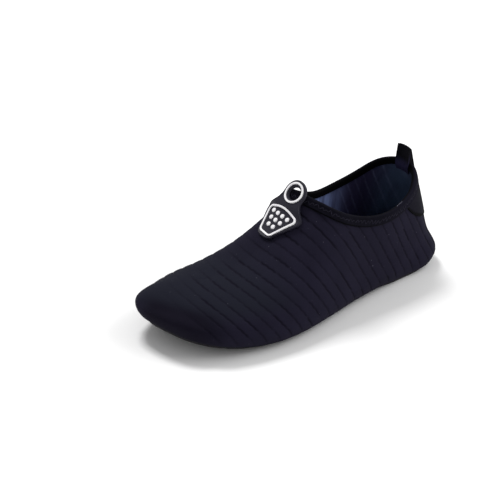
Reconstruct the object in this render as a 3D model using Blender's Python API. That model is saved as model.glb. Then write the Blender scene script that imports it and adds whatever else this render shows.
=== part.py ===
"""Water shoe for the left foot: a hollow stretch upper closed below by a thin rubber sole.

Metres, +Z up, toe towards -Y, outer (lateral) side towards +X. The origin lies on the floor,
under the middle of the shoe. Every curved piece is worked out from one form, the last.
"""
import math
from collections import namedtuple

import bmesh
import bpy
import numpy as np
from mathutils import Vector
from mathutils.bvhtree import BVHTree

MM = 0.001

# Driving sizes of the last
LENGTH = 252 * MM
BALL_WIDTH = 97 * MM
INSTEP_HEIGHT = 80 * MM
TOE_SPRING = 12.2 * MM
TOE_SPRING_START = 0.70
WIDEST_ABOVE_FEATHER = 9.2 * MM
TUCK = 4.1 * MM
SWELL_FADE = 12.1 * MM

# Layers
GAP = 0.3 * MM
SOLE = 3.2 * MM
WALL = 1.8 * MM
FLANGE = 8.0 * MM
FEATHER = SOLE + GAP

# Ribs of the last: from a place on the widest outline, up and in to the crest of the foot.
# along and crest_along are parts of LENGTH from the heel, lateral, medial, ridge and gape are
# parts of BALL_WIDTH, and crest_height is a part of INSTEP_HEIGHT. wall and crown are the
# powers that make a rib upright at its foot and flat at its crest. swell is how far the wall
# draws in above the widest line. gape keeps the two sides apart behind the throat.
Rib = namedtuple("Rib", "along lateral medial crest_along ridge gape crest_height wall crown swell")
RIBS = (
    Rib(0.000, 0.000, 0.000, 0.151, 0.000, 0.000, 1.434, 1.24, 0.99, 6.9 * MM),
    Rib(0.027, 0.230, 0.213, 0.160, 0.000, 0.090, 1.434, 1.23, 0.97, 6.4 * MM),
    Rib(0.089, 0.352, 0.336, 0.194, 0.000, 0.168, 1.434, 1.22, 0.96, 5.4 * MM),
    Rib(0.184, 0.361, 0.339, 0.271, 0.000, 0.238, 1.434, 1.22, 1.05, 2.5 * MM),
    Rib(0.300, 0.386, 0.328, 0.329, 0.000, 0.233, 1.434, 1.20, 1.27, 2.0 * MM),
    Rib(0.415, 0.417, 0.329, 0.449, 0.000, 0.000, 1.335, 1.59, 1.59, 1.5 * MM),
    Rib(0.531, 0.468, 0.375, 0.541, 0.000, 0.000, 0.983, 1.82, 1.81, 1.5 * MM),
    Rib(0.647, 0.506, 0.448, 0.628, 0.000, 0.000, 0.695, 1.90, 2.00, 1.5 * MM),
    Rib(0.743, 0.498, 0.495, 0.705, -0.010, 0.000, 0.541, 1.99, 2.08, 1.5 * MM),
    Rib(0.842, 0.434, 0.493, 0.777, -0.030, 0.000, 0.488, 1.96, 2.09, 1.5 * MM),
    Rib(0.920, 0.319, 0.419, 0.818, -0.050, 0.000, 0.473, 1.92, 2.10, 1.5 * MM),
    Rib(0.975, 0.134, 0.342, 0.832, -0.060, 0.000, 0.466, 1.93, 2.11, 1.5 * MM),
    Rib(1.000, -0.182, 0.182, 0.836, -0.060, 0.000, 0.465, 1.94, 2.12, 1.5 * MM),
)
TOE = len(RIBS) - 1
ROUND = 2 * TOE

# Top line of the collar, seen from the side
Stop = namedtuple("Stop", "along height")
COLLAR = (
    Stop(0.000, 91.0 * MM),
    Stop(0.060, 84.4 * MM),
    Stop(0.120, 76.8 * MM),
    Stop(0.185, 66.8 * MM),
    Stop(0.260, 61.6 * MM),
    Stop(0.350, 61.8 * MM),
    Stop(0.445, 70.0 * MM),
    Stop(0.530, 83.2 * MM),
    Stop(0.620, 98.0 * MM),
)

# Mesh steps of the upper, and the net that overlays are set down on
COLLAR_STEPS = 32
VAMP_STEPS = 16
WALL_STEPS = 10
NET_TURNS, NET_RISES, NET_FOOT = 480, 90, -0.4
CLOSER_AT_THROAT = 1.75
CLOSER_AT_TOP = 1.3

# Binding folded over the collar's edge
BINDING = 0.8 * MM
BINDING_OUTSIDE = 5.2 * MM
BINDING_INSIDE = 3.2 * MM
INNER_GAP = 0.6 * MM
FOLD = WALL / 2 + GAP + BINDING

# Smooth patch round the back of the heel, under the binding
PATCH_CLOTH = 0.7 * MM
HEEL_PATCH_REACH = 2.85
HEEL_PATCH_LOW = 42.5 * MM
HEEL_PATCH_RISE = 17.0 * MM
HEEL_PATCH_BACK = 12.0 * MM
HEEL_PATCH_FRONT = 53.5 * MM
HEEL_PATCH_STEPS = (24, 4)

# Pull tape at the top of the heel
TAPE_WIDTH = 13.0 * MM
TAPE_SIDE = 2.5 * MM
TAPE = 1.2 * MM
TAPE_CLEAR = 0.6 * MM
TAPE_STANDS = 10.8 * MM
TAPE_OUTSIDE = 9.0 * MM
TAPE_INSIDE = 5.0 * MM
TAPE_FOLD = 0.6
TAPE_STEPS = 6
TAPE_FRAMES = 11

# Insole
INSOLE = 2.5 * MM
INSOLE_INSET = 7.4 * MM
INSOLE_EASE = 0.8 * MM
INSOLE_STEPS = 48

# Outsole: outline inside the feather line, rim, and the grooves between its lugs
SOLE_INSET = 4.5 * MM
SOLE_RIM = 5.0 * MM
SOLE_RIM_PART = 0.3
SOLE_END = 24.0 * MM
SOLE_END_STEPS = 8
GROOVE = 1.3 * MM
GROOVE_WIDTH = 2.4 * MM
GROOVE_WALL = 0.4 * MM
GROOVE_WALL_PART = 0.1
GROOVE_BOW = 7.0 * MM
BOW_FROM, BOW_FULL = 8.0 * MM, 28.0 * MM
HEEL_GROOVES = (0.115, 0.16, 0.205, 0.25, 0.295)
FOREFOOT_GROOVES = (0.50, 0.545, 0.59, 0.635, 0.68, 0.725, 0.77, 0.815, 0.86)
ARCH_LIFT = 1.4 * MM
ARCH_FROM, ARCH_TO = 0.31, 0.49
ARCH_STEPS = 6
ARCH_INNER, ARCH_OUTER = 0.8, 0.3
OUTLINE_STEPS = 400

# Rubber pull patch at the throat: a shield that runs into a ring
PLATE_START = 0.627
PLATE_SLOPE = math.radians(47.5)
PLATE_TURN = math.radians(8.0)
PLATE = 2.0 * MM
PLATE_FLAT = 0.6
NARROW_END = -2.4 * MM
RING_AT = 34.0 * MM
RING_SIDE = 1.3 * MM
RING_OUTSIDE = 9.4 * MM
RING_HOLE = 4.6 * MM
RING_BEND = 60.0 * MM
BEND_BLEND = 6.0 * MM
RAY_START = 30.0 * MM
NARROW_TIP, NARROW_SIDE = 2.6, 2.2
PLATE_STEPS = (6, 13, 8)
PLATE_ACROSS = 8
HOLE_SEGMENTS = 28
PLATE_OUTER = (
    Stop(2.0 * MM, 8.4 * MM),
    Stop(9.0 * MM, 12.8 * MM),
    Stop(15.5 * MM, 16.1 * MM),
    Stop(19.5 * MM, 17.2 * MM),
    Stop(22.5 * MM, 15.8 * MM),
    Stop(25.5 * MM, 12.6 * MM),
    Stop(29.0 * MM, 10.0 * MM),
    Stop(34.0 * MM, 9.4 * MM),
)
PLATE_INNER = (
    Stop(2.0 * MM, 7.6 * MM),
    Stop(9.0 * MM, 11.6 * MM),
    Stop(15.5 * MM, 14.9 * MM),
    Stop(19.5 * MM, 15.4 * MM),
    Stop(22.5 * MM, 13.2 * MM),
    Stop(25.5 * MM, 10.8 * MM),
    Stop(29.0 * MM, 9.6 * MM),
    Stop(34.0 * MM, 9.4 * MM),
)

# White trim on the rubber patch
TRIM_WIDTH = 2.0 * MM
TRIM = 0.5 * MM
TRIM_RING = 6.95 * MM
Corner = namedtuple("Corner", "along across radius")
TRIM_CORNERS = (
    Corner(0.5 * MM, 5.7 * MM, 3.4 * MM),
    Corner(19.6 * MM, 15.6 * MM, 2.6 * MM),
    Corner(22.6 * MM, 0.8 * MM, 26.0 * MM),
    Corner(18.2 * MM, -12.5 * MM, 2.6 * MM),
    Corner(0.7 * MM, -5.2 * MM, 3.4 * MM),
)
CORNER_STEPS = 5
TRIM_RING_STEPS = 32
PIP_RADIUS = 1.6 * MM
PIP_TAPER = 0.75
PIP_SEGMENTS = 14
PIP_PITCH = 5.0 * MM
PipRow = namedtuple("PipRow", "along side count")
PIP_ROWS = (
    PipRow(16.6 * MM, 1.2 * MM, 4),
    PipRow(11.8 * MM, 0.9 * MM, 3),
    PipRow(7.0 * MM, 0.6 * MM, 2),
)


# The last

def closed_table():
    """The columns of RIBS as closed loops: up the lateral side to the toe, back down the medial."""
    there, back = RIBS, RIBS[-2:0:-1]
    loops = {"side": [r.lateral for r in there] + [-r.medial for r in back],
             "gape": [r.gape for r in there] + [-r.gape for r in back]}
    for name in ("along", "crest_along", "ridge", "crest_height", "wall", "crown", "swell"):
        loops[name] = [getattr(r, name) for r in there + back]
    return {name: np.array(values) for name, values in loops.items()}


LOOPS = closed_table()


def read_loop(name, turn):
    """Value of a column at a place round the shoe, smoothly between its rows."""
    values = LOOPS[name]
    row = np.floor(turn).astype(int)
    part = turn - row
    before, here, after, beyond = (values[(row + step) % ROUND] for step in (-1, 0, 1, 2))
    cubic = 3 * (here - after) + beyond - before
    square = 2 * before - 5 * here + 4 * after - beyond
    return here + 0.5 * part * (after - before + part * (square + part * cubic))


def read_stops(stops, place):
    """Smooth curve through a table of stops, with its slope."""
    at = np.array([s[0] for s in stops])
    value = np.array([s[1] for s in stops])
    lean = np.gradient(value, at)
    index = np.clip(np.searchsorted(at, place) - 1, 0, len(at) - 2)
    span = at[index + 1] - at[index]
    part = (place - at[index]) / span
    low, high = value[index], value[index + 1]
    out, into = lean[index] * span, lean[index + 1] * span
    curve = low + part * (out + part * (3 * (high - low) - 2 * out - into
                                        + part * (2 * (low - high) + out + into)))
    slope = (out + part * (2 * (3 * (high - low) - 2 * out - into)
                           + part * 3 * (2 * (low - high) + out + into))) / span
    return curve, slope


def soft_step(low, high, value):
    """0 below low, 1 above high, and smooth between."""
    part = min(max((value - low) / (high - low), 0.0), 1.0)
    return part * part * (3 - 2 * part)


def toe_lift(along):
    """How far the sole's top has risen at a distance from the heel."""
    part = (along / LENGTH - TOE_SPRING_START) / (1 - TOE_SPRING_START)
    return TOE_SPRING * np.clip(part, 0, 1) ** 2


SIDE_CENTRE = BALL_WIDTH * (LOOPS["side"].max() + LOOPS["side"].min()) / 2


def place(side, along, height):
    """Points of the shoe's frame from distances measured on the last."""
    return np.stack(np.broadcast_arrays(side - SIDE_CENTRE, LENGTH / 2 - along, height), axis=-1)


def last(turn, rise):
    """Outer surface of the upper.

    turn goes round the shoe. rise is -2 at the inner edge of the flange under the foot, -1 at the
    feather line, 0 at the widest line and 1 at the crest.
    """
    turn, rise = np.broadcast_arrays(np.asarray(turn, float), np.asarray(rise, float))
    side = BALL_WIDTH * read_loop("side", turn)
    along = LENGTH * read_loop("along", turn)
    gape = read_loop("gape", turn)
    lateral = turn % ROUND <= TOE
    gape = np.where(lateral, np.maximum(gape, 0), np.minimum(gape, 0))
    to_side = BALL_WIDTH * (read_loop("ridge", turn) + gape) - side
    to_along = LENGTH * read_loop("crest_along", turn) - along
    reach = np.hypot(to_side, to_along)
    to_side, to_along = to_side / reach, to_along / reach

    feather = FEATHER + toe_lift(along + TUCK * to_along)
    widest = feather + WIDEST_ABOVE_FEATHER
    up = np.sin(np.clip(rise, 0, 1) * math.pi / 2) ** 2
    height = widest + (INSTEP_HEIGHT * read_loop("crest_height", turn) - widest) \
        * up ** (1 / read_loop("wall", turn))
    crown = (1 - up) ** (1 / read_loop("crown", turn))
    draw = read_loop("swell", turn) * (1 - np.exp(-((height - widest) / SWELL_FADE) ** 2))
    down = np.clip(-rise, 0, 1)
    under = np.clip(-rise - 1, 0, 1)
    inward = reach * (1 - crown) + draw * crown + TUCK * down ** 2 + FLANGE * under
    side, along = side + to_side * inward, along + to_along * inward
    height = np.where(under > 0, FEATHER + toe_lift(along), height - WIDEST_ABOVE_FEATHER * down)
    return place(side, along, height)


def outward(turn, rise, step=0.004):
    """Unit normals of the last's outer surface, taken just below a crest that ribs share."""
    rise = np.minimum(rise, 1 - step)
    round_way = last(turn + step, rise) - last(turn - step, rise)
    up_way = last(turn, rise + step) - last(turn, np.maximum(rise - step, -2))
    normal = np.cross(up_way, round_way)
    return normal / np.linalg.norm(normal, axis=-1, keepdims=True)


def collar_line(along, below):
    """Height of the line that runs a distance below the collar's top line, square to it."""
    height, slope = read_stops(COLLAR, along / LENGTH)
    return height - below * np.sqrt(1 + (slope / LENGTH) ** 2)


def along_of(points):
    """Distance from the back of the heel."""
    return LENGTH / 2 - points[..., 1]


def bisect(low, high, above):
    """Where above() turns true between low and high, or high where it never does."""
    low, high = np.array(low, float), np.array(high, float)
    for _ in range(40):
        middle = (low + high) / 2
        over = above(middle)
        low, high = np.where(over, low, middle), np.where(over, middle, high)
    return high


def rise_at_line(turn, line):
    """The rise at which each rib reaches a line, which gives a height for a distance along."""
    def above(rise):
        points = last(turn, rise)
        return points[..., 2] > line(along_of(points))
    return bisect(np.zeros_like(turn), np.ones_like(turn), above)


def throat_turn(below):
    """The turn of the lateral rib whose crest lies on a line below the collar's top line."""
    def ahead(turn):
        crest = last(turn, 1.0)
        return crest[..., 2] < collar_line(along_of(crest), below)
    return float(bisect(TOE * 0.4, TOE * 0.6, ahead))


def last_tree():
    """The last as a fine net, to set overlays down on."""
    turns = np.linspace(0, ROUND, NET_TURNS + 1)
    rises = np.linspace(NET_FOOT, 1, NET_RISES + 1)
    points = last(turns[:, None], rises[None, :])
    count = len(rises)
    faces = [(i * count + j, i * count + j + 1, (i + 1) * count + j + 1, (i + 1) * count + j)
             for i in range(len(turns) - 1) for j in range(count - 1)]
    return BVHTree.FromPolygons([Vector(p) for p in points.reshape(-1, 3)], faces)


LAST = last_tree()


def on_last(point, lift, facing):
    """The place a distance off the last nearest to a point, on the side that faces a direction."""
    spot, normal, _, _ = LAST.find_nearest(Vector(point))
    if normal.dot(Vector(facing)) < 0:
        normal = -normal
    return np.array(spot + normal * lift)


# Meshes

def net(bm, points):
    """A grid of faces with its corners at points[i, j]."""
    across, up = points.shape[0] - 1, points.shape[1] - 1
    made = bmesh.ops.create_grid(bm, x_segments=across, y_segments=up, size=1.0)["verts"]
    for vert in made:
        i = round((vert.co.x + 1) * across / 2)
        j = round((vert.co.y + 1) * up / 2)
        vert.co = points[i, j]
    return made


def weld(bm):
    """Joins what meets, and drops the faces that have no area left."""
    bmesh.ops.remove_doubles(bm, verts=bm.verts, dist=0.01 * MM)
    bmesh.ops.dissolve_degenerate(bm, edges=bm.edges, dist=0.01 * MM)


def open_edges(bm):
    """Edges with one face."""
    return [edge for edge in bm.edges if edge.is_boundary]


def finish(bm, name, material, smooth_angle=math.radians(40)):
    """Turns a closed mesh into a named object with its faces pointing out."""
    bmesh.ops.triangulate(bm, faces=bm.faces)
    bmesh.ops.recalc_face_normals(bm, faces=bm.faces)
    mesh = bpy.data.meshes.new(name)
    bm.to_mesh(mesh)
    bm.free()
    mesh.shade_smooth()
    mesh.set_sharp_from_angle(angle=smooth_angle)
    mesh.materials.append(material)
    made = bpy.data.objects.new(name, mesh)
    bpy.context.scene.collection.objects.link(made)
    return made


def slab(name, front, back, material):
    """A closed sheet between two nets of the same layout."""
    bm = bmesh.new()
    net(bm, front)
    net(bm, back)
    weld(bm)
    bmesh.ops.bridge_loops(bm, edges=open_edges(bm))
    return finish(bm, name, material)


def closed_sweep(name, sections, material):
    """A ring of closed sections."""
    points = np.concatenate([sections, sections[:1]], axis=0)
    points = np.concatenate([points, points[:, :1]], axis=1)
    bm = bmesh.new()
    net(bm, points)
    weld(bm)
    return finish(bm, name, material)


def finish_of(name, hex_colour, roughness):
    """A Principled material from an sRGB colour."""
    material = bpy.data.materials.new(name)
    material.use_nodes = True
    shader = material.node_tree.nodes["Principled BSDF"]
    shades = [int(hex_colour[i:i + 2], 16) / 255 for i in (0, 2, 4)]
    linear = [s / 12.92 if s <= 0.04045 else ((s + 0.055) / 1.055) ** 2.4 for s in shades]
    shader.inputs["Base Color"].default_value = (*linear, 1.0)
    shader.inputs["Roughness"].default_value = roughness
    shader.inputs["Metallic"].default_value = 0.0
    return material


# Upper

def closing_in(steps, power):
    """Parts from 0 to 1 that lie closer together towards 1."""
    return 1 - (1 - np.linspace(0, 1, steps + 1)) ** power


def upper_turns():
    """Places of the ribs round the whole shoe, the same on both sides."""
    throat = throat_turn(FOLD)
    half = np.concatenate([throat * closing_in(COLLAR_STEPS, CLOSER_AT_THROAT),
                           np.linspace(throat, TOE, VAMP_STEPS + 1)[1:]])
    return np.concatenate([half, ROUND - half[-2::-1]])


def collar_edge(along):
    """Edge of the upper, inside the binding's fold."""
    return collar_line(along, FOLD)


def meet_at_ridge(points):
    """Brings the two sides of a net together where their ribs share a crest."""
    mirrored = points[::-1]
    points[COLLAR_STEPS:-COLLAR_STEPS, -1] = (
        (points + mirrored) / 2)[COLLAR_STEPS:-COLLAR_STEPS, -1]
    return points


def build_upper(material):
    """The hollow upper: outer and inner wall, open at the collar and under the foot."""
    turns = upper_turns()
    tops = rise_at_line(turns, collar_edge)
    foot = np.array([-2.0, -1.0, -0.5])
    rises = np.concatenate([np.tile(foot, (len(turns), 1)),
                            tops[:, None] * closing_in(WALL_STEPS, CLOSER_AT_TOP)], axis=1)
    spread = np.tile(turns[:, None], (1, rises.shape[1]))
    outer = meet_at_ridge(last(spread, rises))
    inner = meet_at_ridge(last(spread, rises) - WALL * outward(spread, rises))
    inner[:, 0, :2] = outer[:, 0, :2]

    bm = bmesh.new()
    net(bm, outer)
    net(bm, inner)
    weld(bm)
    for at_collar in (False, True):
        rim = [e for e in open_edges(bm) if (e.verts[0].co.z > INSTEP_HEIGHT / 2) == at_collar]
        bmesh.ops.bridge_loops(bm, edges=rim)
    return finish(bm, "upper", material)


# Collar binding

def collar_frames():
    """Places round the collar's edge, with the way out of the wall and the way up over its edge."""
    half = throat_turn(FOLD) * closing_in(COLLAR_STEPS, CLOSER_AT_THROAT)
    turns = np.concatenate([half, ROUND - half[-2:0:-1]])
    tops = rise_at_line(turns, collar_edge)
    edge = last(turns, tops)
    out = outward(turns, tops)
    out[COLLAR_STEPS] *= (0, 1, 1)
    out /= np.linalg.norm(out, axis=1, keepdims=True)
    run = np.roll(edge, -1, axis=0) - np.roll(edge, 1, axis=0)
    over = np.cross(out, run)
    over /= np.linalg.norm(over, axis=1, keepdims=True)
    below = last(turns, tops - 0.05)
    over *= np.sign(np.sum(over * (edge - below), axis=1))[:, None]
    return edge, out, over


def fold(edge, out, over, lift_out, lift_in, angles):
    """Points over the collar's edge, from the outside of the wall to its inside."""
    centre = edge - out * WALL / 2
    points = []
    for angle in angles:
        reach = WALL / 2 + lift_out + (lift_in - lift_out) * angle / math.pi
        points.append(centre + reach * (math.cos(angle) * out + math.sin(angle) * over))
    return points


def build_binding(material):
    """The folded binding: a channel that holds the collar's edge."""
    outside = [BINDING_OUTSIDE * part for part in (1.0, 0.65, 0.3)]
    inside = [BINDING_INSIDE * part for part in (0.45, 1.0)]
    half_turn = [math.pi * part / 4 for part in range(5)]
    sections = []
    for edge, out, over in zip(*collar_frames()):
        face = [on_last(edge - over * w, GAP + BINDING, out) for w in outside]
        face += fold(edge, out, over, GAP + BINDING, INNER_GAP + BINDING, half_turn)
        face += [on_last(edge - over * w, -WALL - INNER_GAP - BINDING, out) for w in inside]
        slot = [on_last(edge - over * w, -WALL - INNER_GAP, out) for w in reversed(inside)]
        slot += fold(edge, out, over, GAP, INNER_GAP, half_turn[4::-2])
        slot += [on_last(edge - over * w, GAP, out) for w in reversed(outside)]
        sections.append(face + slot)
    return closed_sweep("collar_binding", np.array(sections), material)


# Heel

def heel_patch_line(along):
    """Lower edge of the smooth patch, lowest at the back."""
    part = np.clip((along - HEEL_PATCH_BACK) / (HEEL_PATCH_FRONT - HEEL_PATCH_BACK), 0, 1)
    return HEEL_PATCH_LOW + HEEL_PATCH_RISE * part ** 3


def build_heel_patch(material):
    """The smooth patch, laid on the last under the binding."""
    across, up = HEEL_PATCH_STEPS
    turns = np.linspace(-HEEL_PATCH_REACH, HEEL_PATCH_REACH, across + 1)
    head = rise_at_line(turns, lambda along: collar_line(along, FOLD + BINDING_OUTSIDE + GAP))
    foot = rise_at_line(turns, heel_patch_line)
    steps = np.linspace(0, 1, up + 1)
    rises = foot[:, None] + (head - foot)[:, None] * steps
    spread = np.tile(turns[:, None], (1, len(steps)))
    skin, out = last(spread, rises), outward(spread, rises)
    return slab("heel_patch", skin + out * (GAP + PATCH_CLOTH), skin + out * GAP, material)


def build_pull_tape(material):
    """The tape sewn over the binding at the heel, folded on itself above the collar."""
    edges, outs, overs = collar_frames()
    behind = np.flatnonzero(edges[:, 1] > 0)
    near_heel = behind[np.argsort(np.abs(edges[behind, 0] + SIDE_CENTRE))[:TAPE_FRAMES]]
    near_heel = near_heel[np.argsort(edges[near_heel, 0])]
    clear = GAP + BINDING + TAPE_CLEAR
    stations = TAPE_SIDE - SIDE_CENTRE + np.linspace(-TAPE_WIDTH / 2, TAPE_WIDTH / 2, TAPE_STEPS + 1)
    sections = []
    for side in stations:
        edge, out, over = (np.array([np.interp(side, edges[near_heel, 0], way[near_heel, axis])
                                     for axis in range(3)]) for way in (edges, outs, overs))
        head = edge + over * FOLD + np.array((0, -FOLD, TAPE_STANDS))
        back = np.array((0.0, TAPE, 0.0))
        tip = np.array((0.0, 0.0, TAPE / 2))
        thick = clear + TAPE
        deep = clear + TAPE + INNER_GAP - GAP
        section = [on_last(edge - over * w, thick, out) for w in (TAPE_OUTSIDE, TAPE_OUTSIDE / 2)]
        section += [edge + out * thick + over * FOLD / 2]
        section += [head + back, head + back * TAPE_FOLD + tip]
        section += [head - back * TAPE_FOLD + tip, head - back]
        section += [edge - out * (WALL + deep) + over * FOLD / 2]
        section += [on_last(edge - over * TAPE_INSIDE, -WALL - deep, out)]
        section += [on_last(edge - over * TAPE_INSIDE, -WALL - deep + TAPE, out)]
        section += fold(edge, out, over, clear, deep - TAPE, [math.pi * k / 4 for k in (4, 3, 2, 1, 0)])
        section += [on_last(edge - over * w, clear, out) for w in (TAPE_OUTSIDE / 2, TAPE_OUTSIDE)]
        section = np.array(section)
        section[:, 0] = side
        sections.append(section)
    sections = np.array(sections)
    bm = bmesh.new()
    net(bm, np.concatenate([sections, sections[:, :1]], axis=1))
    weld(bm)
    bmesh.ops.holes_fill(bm, edges=open_edges(bm), sides=0)
    return finish(bm, "pull_tape", material)


# Sole and insole

def outline(turn, inset):
    """Plan of the last's widest line drawn in by a distance, as side and along."""
    points = last(turn, 0.0)
    inner = last(turn, -2.0)
    way = (inner - points)[..., :2]
    way /= np.linalg.norm(way, axis=-1, keepdims=True)
    moved = points[..., :2] + way * inset
    return moved[..., 0] + SIDE_CENTRE, LENGTH / 2 - moved[..., 1]


def build_insole(material):
    """A footbed: a plug inside the flange with a wider plate that lies over the flange."""
    turns = np.linspace(0, ROUND, INSOLE_STEPS + 1)[:-1]
    plug, plate = TUCK + FLANGE + INSOLE_EASE, INSOLE_INSET
    flange_top = FEATHER + WALL + GAP
    rings = ((plug, SOLE + GAP), (plug, flange_top), (plate, flange_top), (plate, flange_top + INSOLE))
    bm = bmesh.new()
    loops = []
    for inset, height in rings:
        side, along = outline(turns, inset)
        points = place(side, along, height + toe_lift(along))
        loops.append([bm.verts.new(p) for p in points])
    count = len(turns)
    for low, high in zip(loops, loops[1:]):
        for i in range(count):
            bm.faces.new((low[i], low[(i + 1) % count], high[(i + 1) % count], high[i]))
    for lid in (loops[0], loops[-1]):
        for i in range(count // 2):
            corners = (lid[i], lid[i + 1], lid[-i - 1], lid[-i % count])
            bm.faces.new(list(dict.fromkeys(corners)))
    return finish(bm, "insole", material)


def sole_stations():
    """Distances along the sole, closer at its round ends and at the groove edges, with groove depth."""
    turns = np.linspace(0, TOE, OUTLINE_STEPS)
    _, along = outline(turns, TUCK + SOLE_INSET)
    heel, toe = along[0], along[-1]
    ends = (1 - np.cos(np.linspace(0, math.pi / 2, SOLE_END_STEPS + 1))) * SOLE_END
    middle = LENGTH * np.linspace(ARCH_FROM, ARCH_TO, ARCH_STEPS + 1)
    stations = [(heel + d, 0.0) for d in ends] + [(toe - d, 0.0) for d in ends]
    stations += [(d, 0.0) for d in middle]
    for part in HEEL_GROOVES + FOREFOOT_GROOVES:
        centre = part * LENGTH
        for reach, depth in ((GROOVE_WIDTH / 2, 0.0), (GROOVE_WIDTH / 2 - GROOVE_WALL, GROOVE)):
            stations += [(centre - reach, depth), (centre + reach, depth)]
    return np.array(sorted(stations)), heel, toe


def build_outsole(material):
    """A thin sole with a rim all round, bowed grooves between its lugs, an arch and a raised toe."""
    turns = np.linspace(0, TOE, OUTLINE_STEPS)
    outer_side, outer_along = outline(turns, TUCK + SOLE_INSET)
    inner_side, inner_along = outline(ROUND - turns, TUCK + SOLE_INSET)
    stations, heel, toe = sole_stations()
    under, top = [], []
    for along, depth in stations:
        right = np.interp(along, outer_along, outer_side)
        left = np.interp(along, inner_along, inner_side)
        width = right - left
        rim = min(SOLE_RIM, SOLE_RIM_PART * width)
        wall = min(GROOVE_WALL, GROOVE_WALL_PART * width)
        across = np.array((0.0, rim, rim + wall, width / 2, width - rim - wall, width - rim, width))
        bow = GROOVE_BOW * soft_step(BOW_FROM, BOW_FULL, min(along - heel, toe - along))
        part = across / max(width, MM)
        bowed = along + bow * 4 * part * (1 - part)
        cut = depth * np.array((0, 0, 1, 1, 1, 0, 0))
        waist = np.clip((along / LENGTH - ARCH_FROM) / (ARCH_TO - ARCH_FROM), 0, 1)
        inner = np.clip((part - ARCH_OUTER) / (ARCH_INNER - ARCH_OUTER), 0, 1)
        arch = ARCH_LIFT * np.sin(math.pi * waist) ** 2 * inner
        under.append(place(right - across, bowed, toe_lift(bowed) + cut + arch))
        edge = [0, -1]
        top.append(place(right - across[edge], bowed[edge], SOLE + toe_lift(bowed[edge])))
    under, top = np.array(under), np.array(top)
    return slab("outsole", top, under, material)


# Rubber pull patch

def plate_frame():
    """Start of the patch on the ridge, its way up the instep and its way out."""
    crest = last(np.linspace(TOE * 0.45, TOE * 0.65, 200), 1.0)
    start = crest[np.argmin(np.abs(along_of(crest) - PLATE_START * LENGTH))]
    start[0] = -SIDE_CENTRE
    up = np.array((0.0, math.cos(PLATE_SLOPE), math.sin(PLATE_SLOPE)))
    out = np.array((0.0, -math.sin(PLATE_SLOPE), math.cos(PLATE_SLOPE)))
    return start, up, out


PLATE_FRAME = plate_frame()


def last_height(climb, side):
    """Height of the last over the patch's flat plane."""
    start, up, out = PLATE_FRAME
    origin = start + up * climb + np.array((side, 0, 0)) + out * RAY_START
    spot, _, _, _ = LAST.ray_cast(Vector(origin), Vector(-out))
    return float(np.dot(np.array(spot) - start, out))


def on_plate(along, across, lift):
    """A place on the bent patch. Its underside follows the last, and its face is flatter."""
    start, up, out = PLATE_FRAME
    ahead = along - RING_AT
    climb = RING_AT + ahead * math.cos(PLATE_TURN) - across * math.sin(PLATE_TURN)
    side = RING_SIDE + ahead * math.sin(PLATE_TURN) + across * math.cos(PLATE_TURN)
    ridge = last_height(climb, 0.0)
    flat = ridge - side ** 2 / (2 * RING_BEND)
    ring_from = RING_AT - RING_OUTSIDE
    follow = 1 - soft_step(ring_from - BEND_BLEND, ring_from + BEND_BLEND, climb)
    follow *= 1 - PLATE_FLAT * min(lift / PLATE, 1.0)
    bent = flat + (last_height(climb, side) - flat) * follow if follow > 0 else flat
    over_binding = soft_step(ring_from - BEND_BLEND, ring_from, climb) * (BINDING + GAP)
    return start + up * climb + np.array((side, 0, 0)) + out * (bent + GAP + over_binding + lift)


def plate_reach(along, side):
    """Reach of the patch to a side: a round narrow end, the shield's side, the neck and the ring."""
    stops = PLATE_OUTER if side > 0 else PLATE_INNER
    first = stops[0]
    if along < first.along:
        part = (first.along - along) / (first.along - NARROW_END)
        return first.height * max(0.0, 1 - part ** NARROW_TIP) ** (1 / NARROW_SIDE)
    if along > RING_AT:
        return math.sqrt(max(0.0, RING_OUTSIDE ** 2 - (along - RING_AT) ** 2))
    return float(read_stops(stops, along)[0])


def stand(bm, centre, way):
    """Moves a shape made about the Z axis to a centre, with that axis along a way."""
    turn = Vector((0, 0, 1)).rotation_difference(Vector(way)).to_matrix().to_4x4()
    turn.translation = Vector(centre)
    bmesh.ops.transform(bm, matrix=turn, verts=bm.verts)


def build_plate(material):
    """The dark rubber patch with the hole of its ring."""
    narrow = PLATE_OUTER[0].along
    at_tip, on_shield, at_ring = PLATE_STEPS
    tip = 1 - np.cos(np.linspace(0, math.pi / 2, at_tip + 1))
    ring = np.sin(np.linspace(0, math.pi / 2, at_ring + 1))
    stations = np.concatenate([NARROW_END + (narrow - NARROW_END) * tip,
                               np.linspace(narrow, RING_AT, on_shield + 1)[1:-1],
                               RING_AT + RING_OUTSIDE * ring])
    parts = np.linspace(-1, 1, PLATE_ACROSS + 1)
    layers = []
    for lift in (PLATE, 0.0):
        layers.append(np.array([[on_plate(s, f * plate_reach(s, f), lift) for f in parts]
                                for s in stations]))
    made = slab("throat_patch", layers[0], layers[1], material)

    bm = bmesh.new()
    bmesh.ops.create_cone(bm, cap_ends=True, segments=HOLE_SEGMENTS, radius1=RING_HOLE,
                          radius2=RING_HOLE, depth=6 * PLATE)
    stand(bm, on_plate(RING_AT, 0.0, PLATE / 2), PLATE_FRAME[2])
    cutter = finish(bm, "ring_hole", material)
    cutter.hide_render = True
    cutter.display_type = "WIRE"
    hole = made.modifiers.new("ring_hole", "BOOLEAN")
    hole.operation = "DIFFERENCE"
    hole.solver = "EXACT"
    hole.object = cutter


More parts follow.
